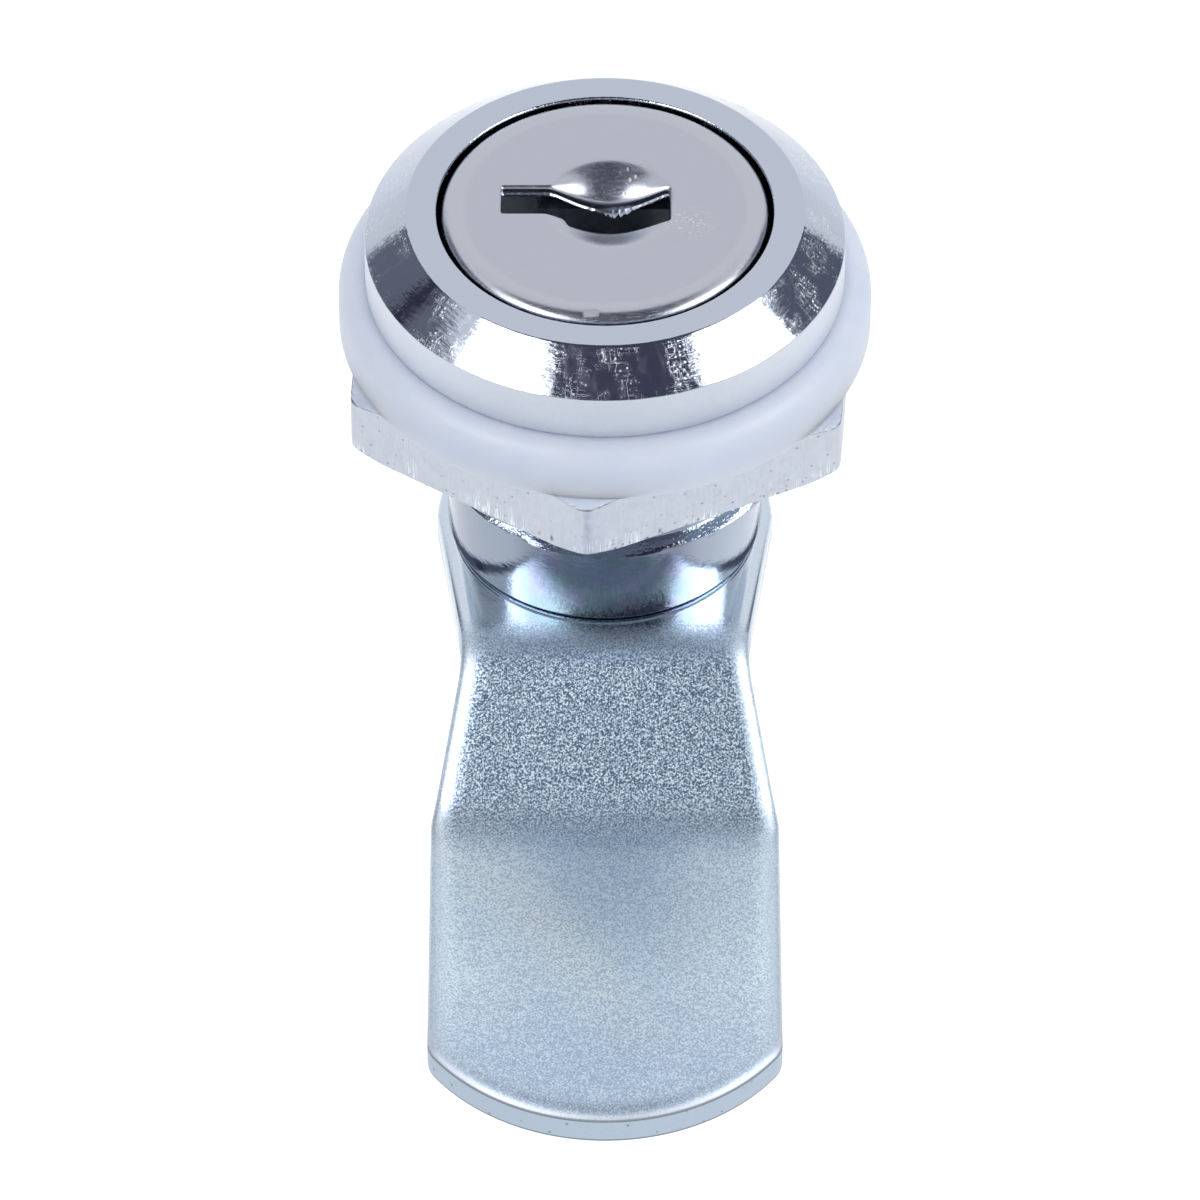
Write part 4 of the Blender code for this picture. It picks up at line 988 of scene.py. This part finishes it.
def blue_zinc_plate():
    """Bluish zinc plate on the cam: coarse-grained on the slant, paler and finer on the flat end, whose part
    near the bend and whose sides are painted lighter, with a painted highlight band across it.
    """
    material, tree, shader = new_tree("blue_zinc_plate")
    place = millimetres(tree)
    parts = split(tree, place)
    past_neck = map_range(tree, parts[1], *DRAWN_FROM, smooth=True)
    past_slant = map_range(tree, parts[1], *DRAWN_TO, smooth=True)
    drawn = times(tree, past_neck, calculate(tree, "SUBTRACT", 1.0, past_slant))
    aside = calculate(tree, "ABSOLUTE", split(tree, true_normal(tree))[0])
    level = map_range(tree, aside, 0.30, 0.12)
    drawn = times(tree, drawn, level)
    coarse = noise_value(tree, place, 8.2, 2.0, 0.6)
    fine = noise_value(tree, place, 9.0, 2.0, 0.6)
    grain = add(tree, "Mix", {0: drawn, 2: fine, 3: coarse}).outputs[0]
    strength = map_range(tree, drawn, 0.0, 1.0, 0.6, 1.0)
    strength = times(tree, strength, map_range(tree, parts[1], *GRAIN_FROM, 0.2, 1.0))
    normal = bump(tree, times(tree, grain, strength), 2.2e-5)
    cloud = noise_value(tree, place, 0.16, 2.0)
    # Painted light: the flat end is painted lighter toward the bend than toward the tip.
    lit_nearer_bend = map_range(tree, parts[1], *END_PAINTED_LIGHT, smooth=True)
    lower = mix_colour(tree, cloud, (0.50, 0.63, 0.78), (0.60, 0.73, 0.88))
    upper = mix_colour(tree, cloud, (0.66, 0.83, 1.0), (0.74, 0.91, 1.0))
    # Painted light: the flat end's sides are painted paler than its middle.
    outward = map_range(tree, calculate(tree, "ABSOLUTE", parts[0]), *LIT_SIDES, 0.0, 0.9, smooth=True)
    upper = mix_colour(tree, outward, upper, (0.82, 0.95, 1.0))
    # Painted highlight: a pale band across the flat end.
    across_highlight_band = add(tree, "VectorMath", {0: place, 1: HIGHLIGHT_BAND_ACROSS}, operation="DOT_PRODUCT")
    from_highlight_band = away_from(tree, across_highlight_band.outputs["Value"], HIGHLIGHT_BAND_AT)
    highlight_band = map_range(tree, from_highlight_band, *HIGHLIGHT_BAND_FADE, 0.0, 0.8, smooth=True)
    upper = mix_colour(tree, highlight_band, upper, (0.92, 1.0, 1.0))
    colour = mix_colour(tree, lit_nearer_bend, lower, upper)
    colour = mix_colour(tree, map_range(tree, parts[1], *NECK_TONE), colour, (0.72, 0.80, 0.87))
    colour = mix_colour(tree, drawn, colour, (0.44, 0.56, 0.71))
    dark_grain = times(tree, map_range(tree, grain, 0.54, 0.42), strength)
    light_grain = times(tree, map_range(tree, grain, 0.53, 0.64), strength)
    shade = mix_colour(tree, drawn, (0.24, 0.35, 0.50), (0.10, 0.15, 0.23))
    colour = mix_colour(tree, dark_grain, colour, shade)
    colour = mix_colour(tree, light_grain, colour, (0.90, 0.97, 1.0))
    creases = scratches(tree, place, 2.6, (1.0, 1.0, 1.0), 0.035)
    creases = times(tree, creases, times(tree, past_slant, 0.25))
    colour = mix_colour(tree, creases, colour, (0.42, 0.54, 0.68))
    rolled = times(tree, map_range(tree, aside, 0.1, 0.3), 0.5)
    colour = mix_colour(tree, rolled, colour, (0.46, 0.53, 0.66))
    upward = facing_up(tree)
    at_tip = map_range(tree, parts[1], *TIP_EDGE)
    tip_roll = times(tree, map_range(tree, upward, 0.94, 0.82), at_tip)
    colour = mix_colour(tree, times(tree, tip_roll, 0.7), colour, (0.66, 0.68, 0.74))
    sheared = map_range(tree, upward, 0.5, 0.3)
    colour = mix_colour(tree, times(tree, sheared, 0.7), colour, (0.40, 0.50, 0.60))
    marks = times(tree, specks(tree, place, 1.8, 0.13, 0.45), sheared)
    arris = times(tree, map_range(tree, upward, 0.03, 0.10), map_range(tree, upward, 0.62, 0.45))
    arris = times(tree, times(tree, arris, at_tip), 0.8)
    colour = mix_colour(tree, calculate(tree, "MAXIMUM", marks, arris), colour, (0.12, 0.14, 0.17))
    tree.links.new(colour, shader.inputs["Base Color"])
    waver = map_range(tree, noise_value(tree, place, 5.0, 2.0), 0.3, 0.7, -0.5, 0.5)
    uneven = calculate(tree, "ADD", parts[1], waver)
    bend_roughness = map_range(tree, uneven, *DULL_FROM, 0.12, 0.42, smooth=True)
    end_polish = times(tree, past_slant, 0.08)
    dulled = calculate(tree, "SUBTRACT", times(tree, tip_roll, 0.15), end_polish)
    tree.links.new(calculate(tree, "ADD", bend_roughness, dulled), shader.inputs["Roughness"])
    tree.links.new(normal, shader.inputs["Normal"])
    tree.links.new(map_range(tree, past_slant, 0.0, 1.0, 1.0, 0.58), shader.inputs["Metallic"])
    return material


def plain_metal(name, dark, light, roughness, grain):
    """A metal of the inner pieces: mottled between two tones, with a cast or drawn grain in metres."""
    material, tree, shader = new_tree(name)
    place = millimetres(tree)
    mottle = noise_value(tree, place, 1.5, 5.0, 0.6)
    tree.links.new(mix_colour(tree, mottle, dark, light), shader.inputs["Base Color"])
    tree.links.new(bump(tree, noise_value(tree, place, 6.0, 3.0), grain), shader.inputs["Normal"])
    spread = map_range(tree, mottle, 0.3, 0.7, roughness - 0.06, roughness + 0.06)
    tree.links.new(spread, shader.inputs["Roughness"])
    shader.inputs["Metallic"].default_value = 1.0
    return material


def dress(material, *names):
    """Give CAD nodes that stay a better material."""
    for name in names:
        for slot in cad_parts[name].material_slots:
            slot.material = material


def seen_directly(tree):
    """1 for camera, glossy and transmission rays, which see the background; 0 for other light."""
    path = add(tree, "LightPath").outputs
    first = calculate(tree, "MAXIMUM", path["Is Camera Ray"], path["Is Glossy Ray"])
    return calculate(tree, "MAXIMUM", first, path["Is Transmission Ray"])


def build_world():
    world = bpy.data.worlds.new("studio")
    bpy.context.scene.world = world
    world.use_nodes = True
    tree = world.node_tree
    tree.nodes.clear()
    light = add(tree, "Background", {"Color": (0.96, 0.98, 1.0, 1.0), "Strength": 0.85})
    white = add(tree, "Background", {"Color": (1.0, 1.0, 1.0, 1.0), "Strength": 1.0})
    mixed = add(tree, "MixShader", {0: seen_directly(tree), 1: light.outputs[0], 2: white.outputs[0]})
    output = add(tree, "OutputWorld")
    tree.links.new(mixed.outputs[0], output.inputs["Surface"])


def build_floor():
    """A pale floor well below the lock, which is shown as it would hang in its panel."""
    material, tree, shader = new_tree("floor")
    shader.inputs["Base Color"].default_value = (0.86, 0.86, 0.86, 1.0)
    shader.inputs["Roughness"].default_value = 0.9
    shader.inputs["Specular IOR Level"].default_value = 0.0
    shader.inputs["Emission Color"].default_value = (1.0, 1.0, 1.0, 1.0)
    glow = times(tree, seen_directly(tree), FLOOR_GLOW)
    tree.links.new(glow, shader.inputs["Emission Strength"])
    mesh = bpy.data.meshes.new("floor")
    half = FLOOR_HALF
    corners = [(-half, -half, 0), (half, -half, 0), (half, half, 0), (-half, half, 0)]
    mesh.from_pydata(corners, [], [(0, 1, 2, 3)])
    mesh.materials.append(material)
    floor = bpy.data.objects.new("floor", mesh)
    bpy.context.scene.collection.objects.link(floor)
    floor.location = (0.0, 0.0, FLOOR_HEIGHT)


def build_card(name, azimuth, elevation, width, height, brightness, distance=0.9):
    """A studio card seen only in reflections; angles in degrees, azimuth 0 in front and 90 to the right."""
    material = bpy.data.materials.new(name)
    material.use_nodes = True
    tree = material.node_tree
    tree.nodes.clear()
    glow = add(tree, "Emission", {"Color": (*brightness, 1.0), "Strength": 1.0})
    output = add(tree, "OutputMaterial")
    tree.links.new(glow.outputs[0], output.inputs["Surface"])
    around, up = math.radians(azimuth), math.radians(elevation)
    toward = Vector((math.sin(around) * math.cos(up), -math.cos(around) * math.cos(up), math.sin(up)))
    x = distance * math.tan(math.radians(width) / 2)
    y = distance * math.tan(math.radians(height) / 2)
    mesh = bpy.data.meshes.new(name)
    mesh.from_pydata([(-x, -y, 0), (x, -y, 0), (x, y, 0), (-x, y, 0)], [], [(0, 1, 2, 3)])
    mesh.materials.append(material)
    card = bpy.data.objects.new(name, mesh)
    bpy.context.scene.collection.objects.link(card)
    card.location = toward * distance
    card.rotation_euler = toward.to_track_quat("Z", "Y").to_euler()
    card.visible_camera = False
    card.visible_diffuse = False
    card.visible_shadow = False


def build_studio():
    build_world()
    build_floor()
    soft = (4.8, 4.8, 4.8)
    build_card("soft_box_left", -52, 47, 34, 36, soft)
    build_card("soft_box_right", 73, 41, 34, 36, soft)
    build_card("front_flag", 12, 70, 52, 84, (0.08, 0.085, 0.12), 0.7)
    build_card("side_flag_left", -104, 21, 54, 36, (0.20, 0.21, 0.25), 0.8)
    build_card("side_flag_right", 113, 19, 36, 32, (0.15, 0.16, 0.20), 0.8)
    build_card("side_stripe_left", -104, 20, 7, 34, (0.05, 0.05, 0.08), 0.75)


def build_key_light():
    lamp = bpy.data.lights.new("key", "AREA")
    lamp.shape = "RECTANGLE"
    lamp.size = KEY_SIZE
    lamp.size_y = KEY_SIZE
    lamp.energy = KEY_ENERGY
    key = bpy.data.objects.new("key", lamp)
    bpy.context.scene.collection.objects.link(key)
    key.location = KEY_PLACE
    key.rotation_euler = Vector(key.location).to_track_quat("Z", "Y").to_euler()
    key.visible_glossy = False


def build_camera():
    bpy.context.scene.view_settings.view_transform = "Standard"
    data = bpy.data.cameras.new("camera")
    data.sensor_width = SENSOR_WIDTH
    data.lens = SENSOR_WIDTH * FOCAL_PIXELS / PHOTO_SIZE
    data.clip_end = 20.0
    camera = bpy.data.objects.new("camera", data)
    bpy.context.scene.collection.objects.link(camera)
    sine, cosine = math.sin(CAMERA_RISE), math.cos(CAMERA_RISE)
    up = Vector((0.0, sine, cosine))
    forward = Vector((0.0, cosine, -sine))
    face_centre = Vector((0.0, 0.0, FACE_HEIGHT))
    aside = Vector((CAMERA_ASIDE, 0.0, 0.0))
    camera.location = face_centre - aside - up * CAMERA_ABOVE - forward * CAMERA_DISTANCE
    camera.rotation_euler = (math.pi / 2 - CAMERA_RISE, 0.0, 0.0)
    bpy.context.scene.camera = camera


def build_lock():
    nut_finish = zinc_plate()
    build_housing(chrome())
    build_washer(nylon())
    build_nut(nut_finish)
    build_face_cap(satin_nickel())
    build_cam(blue_zinc_plate())
    dress(nut_finish, "cam_screw")
    cast_zinc = plain_metal("cast_zinc", (0.46, 0.55, 0.68), (0.62, 0.71, 0.84), 0.34, 4e-6)
    dress(cast_zinc, "plug")
    wafers = [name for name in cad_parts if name.startswith("wafer_") and "spring" not in name]
    spring_steel = plain_metal("spring_steel", (0.32, 0.33, 0.35), (0.48, 0.49, 0.51), 0.35, 2e-6)
    wafer_springs = [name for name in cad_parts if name.startswith("wafer_spring")]
    for name in wafer_springs:
        build_spring(name, spring_steel)
    build_retaining_spring(spring_steel)
    dress(spring_steel, "lock_washer")
    brass = plain_metal("brass", (0.60, 0.44, 0.20), (0.78, 0.62, 0.34), 0.32, 2e-6)
    dress(brass, "retaining_wafer", *wafers)


build_camera()
build_lock()
build_studio()
build_key_light()
